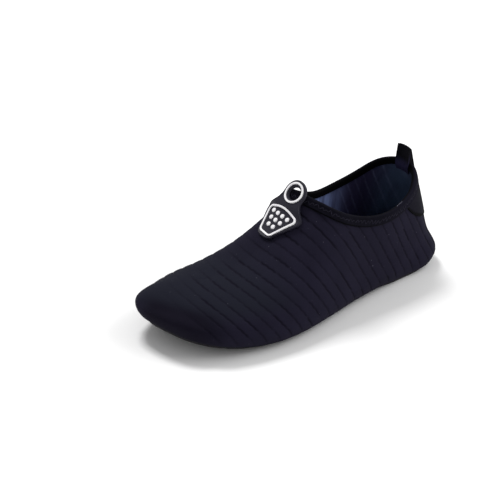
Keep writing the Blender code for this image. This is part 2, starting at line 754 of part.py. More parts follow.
def rounded(corners):
    """Points of a closed outline with an arc in each corner, and its ways to the outside."""
    points, ways = [], []
    for i, corner in enumerate(corners):
        here = Vector((corner.along, corner.across))
        ahead = (Vector(corners[(i + 1) % len(corners)][:2]) - here).normalized()
        behind = (Vector(corners[i - 1][:2]) - here).normalized()
        half = behind.angle(ahead) / 2
        centre = here + (ahead + behind).normalized() * (corner.radius / math.sin(half))
        first = here + behind * (corner.radius / math.tan(half)) - centre
        final = here + ahead * (corner.radius / math.tan(half)) - centre
        for step in range(CORNER_STEPS + 1):
            way = first.lerp(final, step / CORNER_STEPS).normalized()
            points.append(centre + way * corner.radius)
            ways.append(way)
    return points, ways


def build_trim(name, points, ways, material):
    """A raised band along a closed line on the rubber patch."""
    sections = []
    for point, way in zip(points, ways):
        outer, inner = point + way * TRIM_WIDTH / 2, point - way * TRIM_WIDTH / 2
        low, high = PLATE + GAP, PLATE + GAP + TRIM
        sections.append([on_plate(*outer, low), on_plate(*outer, high),
                         on_plate(*inner, high), on_plate(*inner, low)])
    closed_sweep(name, np.array(sections), material)


def build_pips(material):
    """Round grip pips in staggered rows on the shield."""
    number = 0
    for row in PIP_ROWS:
        for k in range(row.count):
            number += 1
            across = row.side + (k - (row.count - 1) / 2) * PIP_PITCH
            foot = on_plate(row.along, across, PLATE + GAP)
            head = on_plate(row.along, across, PLATE + GAP + TRIM)
            bm = bmesh.new()
            bmesh.ops.create_cone(bm, cap_ends=True, segments=PIP_SEGMENTS, radius1=PIP_RADIUS,
                                  radius2=PIP_RADIUS * PIP_TAPER, depth=TRIM)
            stand(bm, (foot + head) / 2, head - foot)
            finish(bm, f"grip_pip_{number}", material)


def main():
    """Clears the scene and builds every piece."""
    for thing in list(bpy.data.objects):
        bpy.data.objects.remove(thing)
    knit = finish_of("stretch_knit", "22212C", 0.8)
    tape = finish_of("binding_tape", "16151D", 0.75)
    tread = finish_of("sole_rubber", "17161A", 0.6)
    bed = finish_of("footbed_cloth", "1C1F2A", 0.9)
    rubber = finish_of("patch_rubber", "3E3C47", 0.5)
    white = finish_of("white_rubber", "F4F4F4", 0.45)

    build_outsole(tread)
    build_insole(bed)
    build_upper(knit)
    build_binding(tape)
    build_heel_patch(knit)
    build_pull_tape(tape)
    build_plate(rubber)
    build_trim("patch_border", *rounded(TRIM_CORNERS), white)
    angles = np.linspace(0, math.tau, TRIM_RING_STEPS + 1)[:-1]
    ways = [Vector((math.cos(a), math.sin(a))) for a in angles]
    build_trim("patch_ring", [Vector((RING_AT, 0)) + way * TRIM_RING for way in ways], ways, white)
    build_pips(white)


main()
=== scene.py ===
"""Looks of a left water shoe: ribbed stretch knit, bound collar, moulded pull patch, rubber sole.

Laid out as an add-on and run as a script. Metres, +Z up, toe towards -Y, outer (lateral) side
towards +X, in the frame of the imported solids. Every soft piece is worked out from the same last
as the solids, so it lies where its solid does.
"""

import math
from collections import namedtuple

import bmesh
import bpy
import numpy as np
from bpy.props import FloatProperty, FloatVectorProperty, PointerProperty
from mathutils import Matrix, Vector
from mathutils.bvhtree import BVHTree


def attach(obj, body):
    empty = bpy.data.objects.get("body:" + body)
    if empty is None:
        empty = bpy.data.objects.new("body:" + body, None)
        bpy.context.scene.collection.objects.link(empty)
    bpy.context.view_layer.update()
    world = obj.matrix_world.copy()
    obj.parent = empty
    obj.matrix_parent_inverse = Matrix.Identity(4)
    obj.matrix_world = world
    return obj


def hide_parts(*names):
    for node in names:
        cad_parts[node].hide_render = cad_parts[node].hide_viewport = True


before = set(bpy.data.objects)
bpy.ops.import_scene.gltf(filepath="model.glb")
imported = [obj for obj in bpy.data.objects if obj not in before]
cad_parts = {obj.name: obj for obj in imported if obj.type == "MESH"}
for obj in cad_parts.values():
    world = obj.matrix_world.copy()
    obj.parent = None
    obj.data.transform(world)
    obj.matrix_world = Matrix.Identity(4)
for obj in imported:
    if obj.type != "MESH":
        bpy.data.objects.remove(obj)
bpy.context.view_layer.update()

bl_info = {
    "name": "Water shoe",
    "version": (1, 0, 0),
    "blender": (4, 5, 0),
    "location": "View3D > Sidebar > Shoe",
    "description": "Builds a left water shoe over its packed solids",
    "category": "Add Mesh",
}

MM = 0.001

# Driving sizes of the last
LENGTH = 252 * MM
BALL_WIDTH = 97 * MM
INSTEP_HEIGHT = 80 * MM
TOE_SPRING = 12.2 * MM
TOE_SPRING_START = 0.70
WIDEST_ABOVE_FEATHER = 9.2 * MM
TUCK = 4.1 * MM
SWELL_FADE = 12.1 * MM

# Layers
GAP = 0.3 * MM
SOLE = 3.2 * MM
WALL = 1.8 * MM
FLANGE = 8.0 * MM
FEATHER = SOLE + GAP

# Ribs of the last: from a place on the widest outline, up and in to the crest of the foot.
# along and crest_along are parts of LENGTH from the heel, lateral, medial, ridge and gape are
# parts of BALL_WIDTH, and crest_height is a part of INSTEP_HEIGHT. wall and crown are the
# powers that make a rib upright at its foot and flat at its crest. swell is how far the wall
# draws in above the widest line. gape keeps the two sides apart behind the throat.
Rib = namedtuple("Rib", "along lateral medial crest_along ridge gape crest_height wall crown swell")
RIBS = (
    Rib(0.000, 0.000, 0.000, 0.151, 0.000, 0.000, 1.434, 1.24, 0.99, 6.9 * MM),
    Rib(0.027, 0.230, 0.213, 0.160, 0.000, 0.090, 1.434, 1.23, 0.97, 6.4 * MM),
    Rib(0.089, 0.352, 0.336, 0.194, 0.000, 0.168, 1.434, 1.22, 0.96, 5.4 * MM),
    Rib(0.184, 0.361, 0.339, 0.271, 0.000, 0.238, 1.434, 1.22, 1.05, 2.5 * MM),
    Rib(0.300, 0.386, 0.328, 0.329, 0.000, 0.233, 1.434, 1.20, 1.27, 2.0 * MM),
    Rib(0.415, 0.417, 0.329, 0.449, 0.000, 0.000, 1.335, 1.59, 1.59, 1.5 * MM),
    Rib(0.531, 0.468, 0.375, 0.541, 0.000, 0.000, 0.983, 1.82, 1.81, 1.5 * MM),
    Rib(0.647, 0.506, 0.448, 0.628, 0.000, 0.000, 0.695, 1.90, 2.00, 1.5 * MM),
    Rib(0.743, 0.498, 0.495, 0.705, -0.010, 0.000, 0.541, 1.99, 2.08, 1.5 * MM),
    Rib(0.842, 0.434, 0.493, 0.777, -0.030, 0.000, 0.488, 1.96, 2.09, 1.5 * MM),
    Rib(0.920, 0.319, 0.419, 0.818, -0.050, 0.000, 0.473, 1.92, 2.10, 1.5 * MM),
    Rib(0.975, 0.134, 0.342, 0.832, -0.060, 0.000, 0.466, 1.93, 2.11, 1.5 * MM),
    Rib(1.000, -0.182, 0.182, 0.836, -0.060, 0.000, 0.465, 1.94, 2.12, 1.5 * MM),
)
TOE = len(RIBS) - 1
ROUND = 2 * TOE

Stop = namedtuple("Stop", "along height")


def stops(*pairs, unit=1.0):
    """A table of heights, given in millimetres, at places given in a unit."""
    return tuple(Stop(along * unit, height * MM) for along, height in pairs)


# Top line of the collar, seen from the side
COLLAR = stops(
    (0.000, 91.0), (0.060, 84.4), (0.120, 76.8), (0.185, 66.8), (0.260, 61.6), (0.350, 61.8),
    (0.445, 70.0), (0.530, 83.2), (0.620, 98.0))

# Pressed cross ribs of the knit. Their scale runs along the shoe, leans forward with height and
# bows with the distance from a line on the lateral side. A stop gives a groove's number from the
# heel and its place on the scale.
RIB_LEAN, RIB_LEAN_MORE = 0.5, 0.2
RIB_BOW, RIB_BOW_FROM = 2.45, 25.0 * MM
RIB_STOPS = stops(
    (-3.0, -20.2), (0.0, 5.8), (5.0, 49.4), (10.0, 96.8), (15.0, 145.5), (19.0, 183.4),
    (22.0, 209.6), (26.0, 244.6))
RIB_FIRST, RIB_FINAL, RIB_FINE = -3, 26, 2001
DASHES, DASH_END, DASH_GAP, DASH_WAVES = 4.6, 0.10, 0.3, 13.0
DASH_FIRM, DASH_UNEVEN = 0.5, 0.6
DASH_ASIDE, DASH_SWAY, DASH_SHIFT = 0.6, 0.4, 0.37
TOP_FADE, TOP_FADE_PART = (2.0 * MM, 18.0 * MM), 0.75
TOP_FADE_ABOVE, TOP_FADE_AFTER = (0.45, 0.6), 12
RIB_PITCH = 9.4 * MM
HEEL_SPREAD, TOE_SPREAD = 0.5, 212.0 * MM
RIB_COLUMNS = (-0.40, -0.28, -0.18, -0.11, -0.07, -0.035, 0.0, 0.035, 0.07, 0.11, 0.18, 0.28, 0.40)
RIB_TOE_FADE = (214.0 * MM, -24.0 * MM, 24.0 * MM)
RIB_FOOT_FADE = (-0.9, -0.3)
STRAY_FADE = (0.9, 1.0)
LINING_PRESS = 0.35

# Soft creases: places on the last along each, its half width and its depth
Crease = namedtuple("Crease", "places half depth")
CREASES = (
    Crease(((12.1, 0.16), (11.78, 0.19), (11.43, 0.29), (11.05, 0.33), (10.55, 0.28), (10.08, 0.15)),
           5.5 * MM, 1.4 * MM),
)

# Net of the upper: its rows, the round turn under the foot, and the easing below the collar
FOOT_ROWS = (-2.0, -1.5, -1.2, -1.08, -1.04, -1.0, -0.96, -0.92, -0.8, -0.55, -0.27)
FOOT_ROUND, FOOT_ROUND_WITHIN, FOOT_ROUND_STEPS = 0.07, 0.14, 7
WALL_ROWS = 52
CLOSER_AT_TOP = 1.3
LINING_EVERY = 2
DENSE_TURNS = 1201
EASE_TURNS, EASE_POWER = 60, 5
CREASE_STEPS = 30

# Binding folded over the collar's edge
BINDING = 0.8 * MM
BINDING_OUTSIDE = 5.2 * MM
BINDING_INSIDE = 3.2 * MM
INNER_GAP = 0.6 * MM
FOLD = WALL / 2 + GAP + BINDING
BINDING_STEPS = 200
CLOSER_AT_THROAT = 1.5

# Smooth patch round the back of the heel, under the binding
PATCH_CLOTH = 0.7 * MM
HEEL_PATCH_REACH = 2.85
HEEL_PATCH_LOW = 42.5 * MM
HEEL_PATCH_RISE = 17.0 * MM
HEEL_PATCH_BACK = 12.0 * MM
HEEL_PATCH_FRONT = 53.5 * MM

# Pull tape at the top of the heel
TAPE_WIDTH = 13.0 * MM
TAPE_SIDE = 2.5 * MM
TAPE = 1.2 * MM
TAPE_CLEAR = 0.6 * MM
TAPE_STANDS = 10.8 * MM
TAPE_OUTSIDE = 9.0 * MM
TAPE_INSIDE = 5.0 * MM
TAPE_FOLD = 0.6

# Insole
INSOLE = 2.5 * MM
INSOLE_INSET = 7.4 * MM
INSOLE_EASE = 0.8 * MM

# Outsole: outline inside the feather line, rim, and the grooves between its lugs
SOLE_INSET = 4.5 * MM
SOLE_RIM = 5.0 * MM
SOLE_RIM_PART = 0.3
SOLE_END = 24.0 * MM
GROOVE = 1.3 * MM
GROOVE_BOW = 7.0 * MM
BOW_FROM, BOW_FULL = 8.0 * MM, 28.0 * MM
HEEL_GROOVES = (0.115, 0.16, 0.205, 0.25, 0.295)
FOREFOOT_GROOVES = (0.50, 0.545, 0.59, 0.635, 0.68, 0.725, 0.77, 0.815, 0.86)
ARCH_LIFT = 1.4 * MM
ARCH_FROM, ARCH_TO = 0.31, 0.49
ARCH_INNER, ARCH_OUTER = 0.8, 0.3
OUTLINE_STEPS = 600

# Rubber pull patch at the throat: a shield that runs into a ring
PLATE_START = 0.627
PLATE_SLOPE = math.radians(47.5)
PLATE_TURN = math.radians(8.0)
PLATE = 2.0 * MM
PLATE_FLAT = 0.6
NARROW_END = -2.4 * MM
RING_AT = 34.0 * MM
RING_SIDE = 1.3 * MM
RING_OUTSIDE = 9.4 * MM
RING_HOLE = 4.6 * MM
RING_BEND = 60.0 * MM
BEND_BLEND = 6.0 * MM
RAY_START = 30.0 * MM
NARROW_TIP, NARROW_SIDE = 2.6, 2.2
PLATE_OUTER = stops(
    (2.0, 8.4), (9.0, 12.8), (15.5, 16.1), (19.5, 17.2), (22.5, 15.8), (25.5, 12.6), (29.0, 10.0),
    (34.0, 9.4), unit=MM)
PLATE_INNER = stops(
    (2.0, 7.6), (9.0, 11.6), (15.5, 14.9), (19.5, 15.4), (22.5, 13.2), (25.5, 10.8), (29.0, 9.6),
    (34.0, 9.4), unit=MM)

# White trim on the rubber patch
TRIM_WIDTH = 1.4 * MM
TRIM = 0.5 * MM
TRIM_RING = 6.95 * MM
Corner = namedtuple("Corner", "along across radius")
TRIM_CORNERS = (
    Corner(0.5 * MM, 5.7 * MM, 3.4 * MM),
    Corner(19.6 * MM, 15.6 * MM, 2.6 * MM),
    Corner(22.6 * MM, 0.8 * MM, 26.0 * MM),
    Corner(18.2 * MM, -12.5 * MM, 2.6 * MM),
    Corner(0.7 * MM, -5.2 * MM, 3.4 * MM),
)
PIP_RADIUS = 1.6 * MM
PIP_PITCH = 5.0 * MM
PipRow = namedtuple("PipRow", "along side count")
PIP_ROWS = (
    PipRow(16.6 * MM, 1.2 * MM, 4),
    PipRow(11.8 * MM, 0.9 * MM, 3),
    PipRow(7.0 * MM, 0.6 * MM, 2),
)


# Settings

def linear(hex_colour):
    """Linear red, green and blue of an sRGB hex value."""
    shades = [int(hex_colour[i:i + 2], 16) / 255 for i in (0, 2, 4)]
    return tuple(s / 12.92 if s <= 0.04045 else ((s + 0.055) / 1.055) ** 2.4 for s in shades)


def colour(name, description, hex_colour):
    """A colour setting."""
    return FloatVectorProperty(name=name, description=description, subtype="COLOR", size=3,
                               min=0.0, max=1.0, default=linear(hex_colour))


def length(name, description, default):
    """A length setting."""
    return FloatProperty(name=name, description=description, unit="LENGTH", min=0.0,
                         default=default)


def bearing(name, description, degrees):
    """An angle setting."""
    return FloatProperty(name=name, description=description, subtype="ANGLE",
                         default=math.radians(degrees))


def wattage(name, description, default):
    """A setting for a lamp's power."""
    return FloatProperty(name=name, description=description, unit="POWER", default=default)


class KnitSettings(bpy.types.PropertyGroup):
    """Stretch knit and its lining."""
    groove_depth: length("Groove depth", "Depth of the pressed grooves", 0.36 * MM)
    groove_half: length("Groove half width", "Half the width of a pressed groove", 0.85 * MM)
    crown: length("Band crown", "How far a band between grooves swells", 0.16 * MM)
    wander: length("Groove wander", "How far a groove strays from its line", 0.7 * MM)
    outside: colour("Knit", "Colour of the knit", "1E1C2A")
    # Painted sheen: the knit on the toe's top is tinted bluer where the light falls on it
    toe_top_sheen: colour("Cool knit", "Colour of the knit on the toe, where it looks bluer", "1C1D27")
    # Painted shade: the knit on the toe's front is darker where it faces away from the light
    toe_front_shade: colour("Toe front", "Colour of the knit on the front of the toe, where it is darker", "16141F")
    # Painted shade: the knit darkens at the bottom of a groove
    groove: colour("Groove", "Colour at the bottom of a groove", "12101B")
    speck: colour("Lint", "Colour of the lint specks", "6E6C78")
    # Painted light and shade: the lining's colours are pale where light falls in by the throat, dark in shade
    # amidships and grey at the heel
    lining: colour("Lining", "Colour of the lining at the heel", "42526B")
    lining_throat_light: colour("Lining at the throat", "Colour of the lining where it is pale", "8494C4")
    lining_middle_shade: colour("Lining amidships", "Colour of the lining where it is dark", "33304C")
    lining_line: colour("Lining line", "Colour of the lining's raised lines", "7A82A2")
    footbed: colour("Footbed", "Colour of the footbed cloth", "1C1F2A")


class TrimSettings(bpy.types.PropertyGroup):
    """Binding, tape, heel patch and thread."""
    thread: length("Thread", "Thickness of the sewing thread", 0.55 * MM)
    zigzag: length("Zigzag", "Step of the binding's zigzag stitch", 1.7 * MM)
    binding: colour("Binding", "Colour of the elastic binding", "0D0C15")
    tape: colour("Pull tape", "Colour of the woven pull tape", "0B0A10")
    tape_inside: colour("Pull tape inside", "Colour of the tape inside the shoe", "25233C")
    heel: colour("Heel patch", "Colour of the smooth heel patch", "15141D")
    sewing: colour("Sewing thread", "Colour of the thread", "211F2C")
    loose: colour("Loose thread", "Colour of the loose thread end", "85859A")


class RubberSettings(bpy.types.PropertyGroup):
    """Sole and pull patch."""
    fillet: length("Patch fillet", "Radius of the patch's upper edges", 0.8 * MM)
    rim: length("Patch rim", "Height of the raised rim round the patch", 0.3 * MM)
    cone: length("Ring cone", "Width of the sloped wall inside the ring", 1.0 * MM)
    sipe: length("Sipe depth", "Depth of the fine cuts in the lugs", 0.5 * MM)
    patch: colour("Patch", "Colour of the dark patch rubber", "1B1927")
    white: colour("White rubber", "Colour of the white trim", "FDFBFF")
    sole: colour("Sole", "Colour of the sole rubber", "1B1A1F")


class StageSettings(bpy.types.PropertyGroup):
    """Camera, floor and light."""
    azimuth: bearing("Azimuth", "Camera's turn from the toe to the outer side", 48.259)
    elevation: bearing("Elevation", "Camera's height over the floor", 27.308)
    roll: bearing("Roll", "Camera's turn about its own axis", 1.848)
    distance: length("Distance", "From the camera to the point that it looks at", 817.6 * MM)
    aim: FloatVectorProperty(name="Aim", description="Point that the camera looks at",
                             subtype="XYZ", unit="LENGTH", size=3,
                             default=(-24.1 * MM, -27.3 * MM, 34.0 * MM))
    lens: FloatProperty(name="Lens", description="Focal length in millimetres", default=83.65)
    floor: colour("Floor", "Colour of the floor", "FAFAFA")
    key: wattage("Key light", "Power of the key light", 17.0)
    side: wattage("Side light", "Power of the light behind the heel", 11.0)
    surround: FloatProperty(name="Surround", description="Strength of the light from all round",
                            default=0.5)


# The last

def closed_table():
    """The columns of RIBS as closed loops: up the lateral side to the toe, back down the medial."""
    there, back = RIBS, RIBS[-2:0:-1]
    loops = {"side": [r.lateral for r in there] + [-r.medial for r in back],
             "gape": [r.gape for r in there] + [-r.gape for r in back]}
    for name in ("along", "crest_along", "ridge", "crest_height", "wall", "crown", "swell"):
        loops[name] = [getattr(r, name) for r in there + back]
    return {name: np.array(values) for name, values in loops.items()}


LOOPS = closed_table()


def spline(before, here, after, beyond, part):
    """Smooth curve from one value to the next, led by the values on both sides."""
    cubic = 3 * (here - after) + beyond - before
    square = 2 * before - 5 * here + 4 * after - beyond
    return here + 0.5 * part * (after - before + part * (square + part * cubic))


def read_loop(name, turn):
    """Value of a column at a place round the shoe, smoothly between its rows."""
    row = np.floor(turn).astype(int)
    return spline(*(LOOPS[name][(row + step) % ROUND] for step in (-1, 0, 1, 2)), turn - row)


def read_stops(table, where):
    """Smooth curve through a table of stops, with its slope."""
    at = np.array([s[0] for s in table])
    value = np.array([s[1] for s in table])
    lean = np.gradient(value, at)
    index = np.clip(np.searchsorted(at, where) - 1, 0, len(at) - 2)
    span = at[index + 1] - at[index]
    part = (where - at[index]) / span
    low, high = value[index], value[index + 1]
    out, into = lean[index] * span, lean[index + 1] * span
    curve = low + part * (out + part * (3 * (high - low) - 2 * out - into
                                        + part * (2 * (low - high) + out + into)))
    slope = (out + part * (2 * (3 * (high - low) - 2 * out - into)
                           + part * 3 * (2 * (low - high) + out + into))) / span
    return curve, slope


def soft_step(low, high, value):
    """0 below low, 1 above high, and smooth between."""
    part = np.clip((value - low) / (high - low), 0.0, 1.0)
    return part * part * (3 - 2 * part)


def toe_lift(along):
    """How far the sole's top has risen at a distance from the heel."""
    part = (along / LENGTH - TOE_SPRING_START) / (1 - TOE_SPRING_START)
    return TOE_SPRING * np.clip(part, 0, 1) ** 2


SIDE_CENTRE = BALL_WIDTH * (LOOPS["side"].max() + LOOPS["side"].min()) / 2


def place(side, along, height):
    """Points of the shoe's frame from distances measured on the last."""
    return np.stack(np.broadcast_arrays(side - SIDE_CENTRE, LENGTH / 2 - along, height), axis=-1)


def last(turn, rise):
    """Outer surface of the upper.

    turn goes round the shoe. rise is -2 at the inner edge of the flange under the foot, -1 at the
    feather line, 0 at the widest line and 1 at the crest.
    """
    turn, rise = np.broadcast_arrays(np.asarray(turn, float), np.asarray(rise, float))
    side = BALL_WIDTH * read_loop("side", turn)
    along = LENGTH * read_loop("along", turn)
    gape = read_loop("gape", turn)
    lateral = turn % ROUND <= TOE
    gape = np.where(lateral, np.maximum(gape, 0), np.minimum(gape, 0))
    to_side = BALL_WIDTH * (read_loop("ridge", turn) + gape) - side
    to_along = LENGTH * read_loop("crest_along", turn) - along
    reach = np.hypot(to_side, to_along)
    to_side, to_along = to_side / reach, to_along / reach

    feather = FEATHER + toe_lift(along + TUCK * to_along)
    widest = feather + WIDEST_ABOVE_FEATHER
    up = np.sin(np.clip(rise, 0, 1) * math.pi / 2) ** 2
    height = widest + (INSTEP_HEIGHT * read_loop("crest_height", turn) - widest) \
        * up ** (1 / read_loop("wall", turn))
    crown = (1 - up) ** (1 / read_loop("crown", turn))
    draw = read_loop("swell", turn) * (1 - np.exp(-((height - widest) / SWELL_FADE) ** 2))
    down = np.clip(-rise, 0, 1)
    under = np.clip(-rise - 1, 0, 1)
    inward = reach * (1 - crown) + draw * crown + TUCK * down ** 2 + FLANGE * under
    side, along = side + to_side * inward, along + to_along * inward
    height = np.where(under > 0, FEATHER + toe_lift(along), height - WIDEST_ABOVE_FEATHER * down)
    return place(side, along, height)


def unit(ways):
    """Ways of length 1."""
    return ways / np.linalg.norm(ways, axis=-1, keepdims=True)


def outward(turn, rise, step=0.004):
    """Unit normals of the last's outer surface, taken just below a crest that ribs share."""
    rise = np.minimum(rise, 1 - step)
    round_way = last(turn + step, rise) - last(turn - step, rise)
    up_way = last(turn, rise + step) - last(turn, np.maximum(rise - step, -2))
    return unit(np.cross(up_way, round_way))


def collar_line(along, below):
    """Height of the line that runs a distance below the collar's top line, square to it."""
    height, slope = read_stops(COLLAR, along / LENGTH)
    return height - below * np.sqrt(1 + (slope / LENGTH) ** 2)


def along_of(points):
    """Distance from the back of the heel."""
    return LENGTH / 2 - points[..., 1]


HALVINGS = 40
# Turns between which the throat lies
THROAT_WITHIN = (TOE * 0.4, TOE * 0.6)


def bisect(low, high, above):
    """Where above() turns true between low and high, or high where it never does."""
    low, high = np.array(low, float), np.array(high, float)
    for _ in range(HALVINGS):
        middle = (low + high) / 2
        over = above(middle)
        low, high = np.where(over, low, middle), np.where(over, middle, high)
    return high


def rise_at_line(turn, line):
    """The rise at which each rib reaches a line, which gives a height for a distance along."""
    def above(rise):
        points = last(turn, rise)
        return points[..., 2] > line(along_of(points))
    return bisect(np.zeros_like(turn), np.ones_like(turn), above)


def throat_turn(below):
    """The turn of the lateral rib whose crest lies on a line below the collar's top line."""
    def ahead(turn):
        crest = last(turn, 1.0)
        return crest[..., 2] < collar_line(along_of(crest), below)
    return float(bisect(*THROAT_WITHIN, ahead))


def collar_edge(along):
    """Edge of the upper, inside the binding's fold."""
    return collar_line(along, FOLD)


def closing_in(steps, power):
    """Parts from 0 to 1 that lie closer together towards 1."""
    return 1 - (1 - np.linspace(0, 1, steps + 1)) ** power


# Meshes

# Mark from 0 to 1 that a mesh carries: a groove, which the knit darkens as painted shade, a painted shadow
# along an edge, or an inner side, in painted shade on the binding and bluer on the tape
MARK = "mark"
MEETS = 0.01 * MM
FINE_STEPS = 8


def net(bm, points, marks=None):
    """A grid of faces with its corners at points[i, j], where it carries marks[i, j]."""
    across, up = points.shape[0] - 1, points.shape[1] - 1
    if marks is not None:
        layer = bm.verts.layers.float.get(MARK) or bm.verts.layers.float.new(MARK)
    made = bmesh.ops.create_grid(bm, x_segments=across, y_segments=up, size=1.0)["verts"]
    for vert in made:
        i = round((vert.co.x + 1) * across / 2)
        j = round((vert.co.y + 1) * up / 2)
        vert.co = points[i, j]
        if marks is not None:
            vert[layer] = float(marks[i, j])


def weld(bm):
    """Joins what meets, and drops the faces that have no area left."""
    bmesh.ops.remove_doubles(bm, verts=bm.verts, dist=MEETS)
    bmesh.ops.dissolve_degenerate(bm, edges=bm.edges, dist=MEETS)


def open_edges(bm):
    """Edges with one face."""
    return [edge for edge in bm.edges if edge.is_boundary]


SMOOTH_BELOW = math.radians(40)


def finish(bm, name, materials, nodes):
    """Turns a closed mesh into a named piece that rides on the shoe and stands for CAD nodes."""
    bmesh.ops.recalc_face_normals(bm, faces=bm.faces)
    mesh = bpy.data.meshes.new(name)
    bm.to_mesh(mesh)
    bm.free()
    mesh.shade_smooth()
    mesh.set_sharp_from_angle(angle=SMOOTH_BELOW)
    for material in materials:
        mesh.materials.append(material)
    made = bpy.data.objects.new(name, mesh)
    bpy.context.scene.collection.objects.link(made)
    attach(made, "root")
    if nodes:
        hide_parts(*nodes)


def ring_net(bm, sections, marks=None):
    """A ring of closed sections."""
    def close(grid):
        grid = np.concatenate([grid, grid[:1]], axis=0)
        return np.concatenate([grid, grid[:, :1]], axis=1)
    net(bm, close(sections), None if marks is None else close(marks))


def smooth_line(points, steps):
    """Points of a smooth curve through a chain of points, spread evenly along it."""
    points = np.asarray(points, float)
    ends = np.concatenate([2 * points[:1] - points[1:2], points, 2 * points[-1:] - points[-2:-1]])
    part = np.linspace(0, 1, FINE_STEPS + 1)[:-1, None]
    fine = [spline(*four, part) for four in zip(ends, ends[1:], ends[2:], ends[3:])]
    return spread_evenly(np.concatenate(fine + [points[-1:]]), steps)


def run_along(points):
    """Distance of each point of a chain from the first, along the chain."""
    return np.concatenate([[0], np.cumsum(np.linalg.norm(np.diff(points, axis=0), axis=1))])


def read_chain(at, run, points):
    """Places between the points of a chain, where run gives the measure at each point."""
    return np.stack([np.interp(at, run, points[:, axis]) for axis in range(points.shape[1])], -1)


def spread_evenly(points, steps):
    """Points at even distances along a chain of points."""
    run = run_along(points)
    return read_chain(np.linspace(0, run[-1], steps + 1), run, points)


def round_edge(inside, radius):
    """Height of a rounded edge, as a part of its radius, at a distance inside the edge."""
    part = np.clip(1 - inside / radius, 0, 1)
    return np.sqrt(1 - part ** 2)


# Materials

# Values of a noise between which its patches go from one shade to the other
PATCHES = (0.35, 0.65)
# Bands of a wave texture to a unit of its scale
WAVE_PER_SCALE = 3.18


def add(tree, kind, settings=None, feeds=None):
    """Adds a node, or takes the one of that name, and sets its settings and sockets or links."""
    made = tree.nodes.get(kind) or tree.nodes.new(kind)
    for name, value in (settings or {}).items():
        setattr(made, name, value)
    for socket, value in (feeds or {}).items():
        if isinstance(value, bpy.types.NodeSocket):
            tree.links.new(value, made.inputs[socket])
        else:
            made.inputs[socket].default_value = value
    return made


def new_material(name):
    """A material with its node tree and the Object coordinates that its patterns read."""
    material = bpy.data.materials.new(name)
    material.use_nodes = True
    tree = material.node_tree
    return material, tree, add(tree, "ShaderNodeTexCoord").outputs["Object"]


def tone(shade, part=1.0):
    """A colour setting with alpha, made darker or lighter by a factor."""
    return (*(min(1.0, s * part) for s in shade), 1.0)


def ramp(tree, value, low, high, least=0.0, most=1.0, kind="LINEAR"):
    """A number that goes from least to most as a value goes from low to high."""
    return add(tree, "ShaderNodeMapRange", {"interpolation_type": kind}, {
        "Value": value, "From Min": low, "From Max": high,
        "To Min": least, "To Max": most}).outputs["Result"]


def blend(tree, part, shade, other):
    """One colour where a part is 0, and another where it is 1."""
    return add(tree, "ShaderNodeMix", {"data_type": "RGBA"},
               {0: part, 6: shade, 7: other}).outputs[2]


def noise(tree, where, size, detail):
    """Soft noise with patches of a size."""
    return add(tree, "ShaderNodeTexNoise", {}, {"Vector": where, "Scale": 1 / size,
                                               "Detail": detail}).outputs["Fac"]


def zone(tree, where, *limits):
    """1 in a part of the shoe, given by axes with the millimetres where it starts and is full."""
    spot = add(tree, "ShaderNodeSeparateXYZ", {}, {"Vector": where})
    part = 1.0
    for axis, start, full in limits:
        inside = ramp(tree, spot.outputs[axis], start * MM, full * MM, kind="SMOOTHSTEP")
        part = add(tree, "ShaderNodeMath", {"operation": "MULTIPLY"},
                   {0: part, 1: inside}).outputs["Value"]
    return part


def marked(tree):
    """The mark that the mesh carries."""
    return add(tree, "ShaderNodeAttribute", {"attribute_name": MARK}).outputs["Fac"]


def mottled(tree, where, size, shade, first, other):
    """A colour in soft patches of a size, dimmed by one factor and by another."""
    part = ramp(tree, noise(tree, where, size, 3.0), *PATCHES)
    return blend(tree, part, tone(shade, first), tone(shade, other))


def bump(tree, height, strength, depth):
    """The way out of a surface with a fine relief of a depth."""
    return add(tree, "ShaderNodeBump", {}, {"Height": height, "Strength": strength,
                                           "Distance": depth}).outputs["Normal"]


def cloth(tree, base, normal, roughness, specular=0.03, sheen=0.01, sheen_roughness=0.5):
    """Sets a matt surface with the weak sheen of fibres."""
    add(tree, "Principled BSDF", {}, {
        "Base Color": base, "Roughness": roughness, "Specular IOR Level": specular,
        "Sheen Weight": sheen, "Sheen Roughness": sheen_roughness, "Normal": normal})


def stretch_knit(name, settings):
    """Polyester and elastane weft knit, pressed with grooves.

    Fine matt loops with a weak fibre sheen, darker in the grooves by painted shade, with a painted sheen that
    tints the toe's top bluer, painted shade that darkens the toe's front, and a few pale lint specks.
    """
    material, tree, where = new_material(name)
    base = mottled(tree, where, 22 * MM, settings.outside, 0.92, 1.08)
    # Painted sheen: bluer on the toe's top, where the light falls
    toe_top = zone(tree, where, ("Y", -25, -75), ("Z", 22, 32))
    base = blend(tree, toe_top, base, tone(settings.toe_top_sheen))
    # Painted shade: darker on the toe's front, which faces away from the light
    toe_front = zone(tree, where, ("Y", -92, -112), ("Z", 33, 28), ("X", -24, -8))
    base = blend(tree, toe_front, base, tone(settings.toe_front_shade))
    # Lint specks about half a millimetre wide, drawn coarse enough to show
    speck = ramp(tree, noise(tree, where, 1.3 * MM, 0.0), 0.86, 0.90, most=0.5)
    base = blend(tree, speck, base, tone(settings.speck))
    # Painted shade in the grooves, where the mesh is marked
    base = blend(tree, marked(tree), base, tone(settings.groove))
    # Knit loops are 0.5 mm apart, drawn at 1.1 mm so that their grain shows
    loops = add(tree, "ShaderNodeTexVoronoi", {}, {"Vector": where, "Scale": 1 / (1.1 * MM)})
    cloth(tree, base, bump(tree, loops.outputs["Distance"], 0.35, 0.2 * MM), 0.85)
    return material


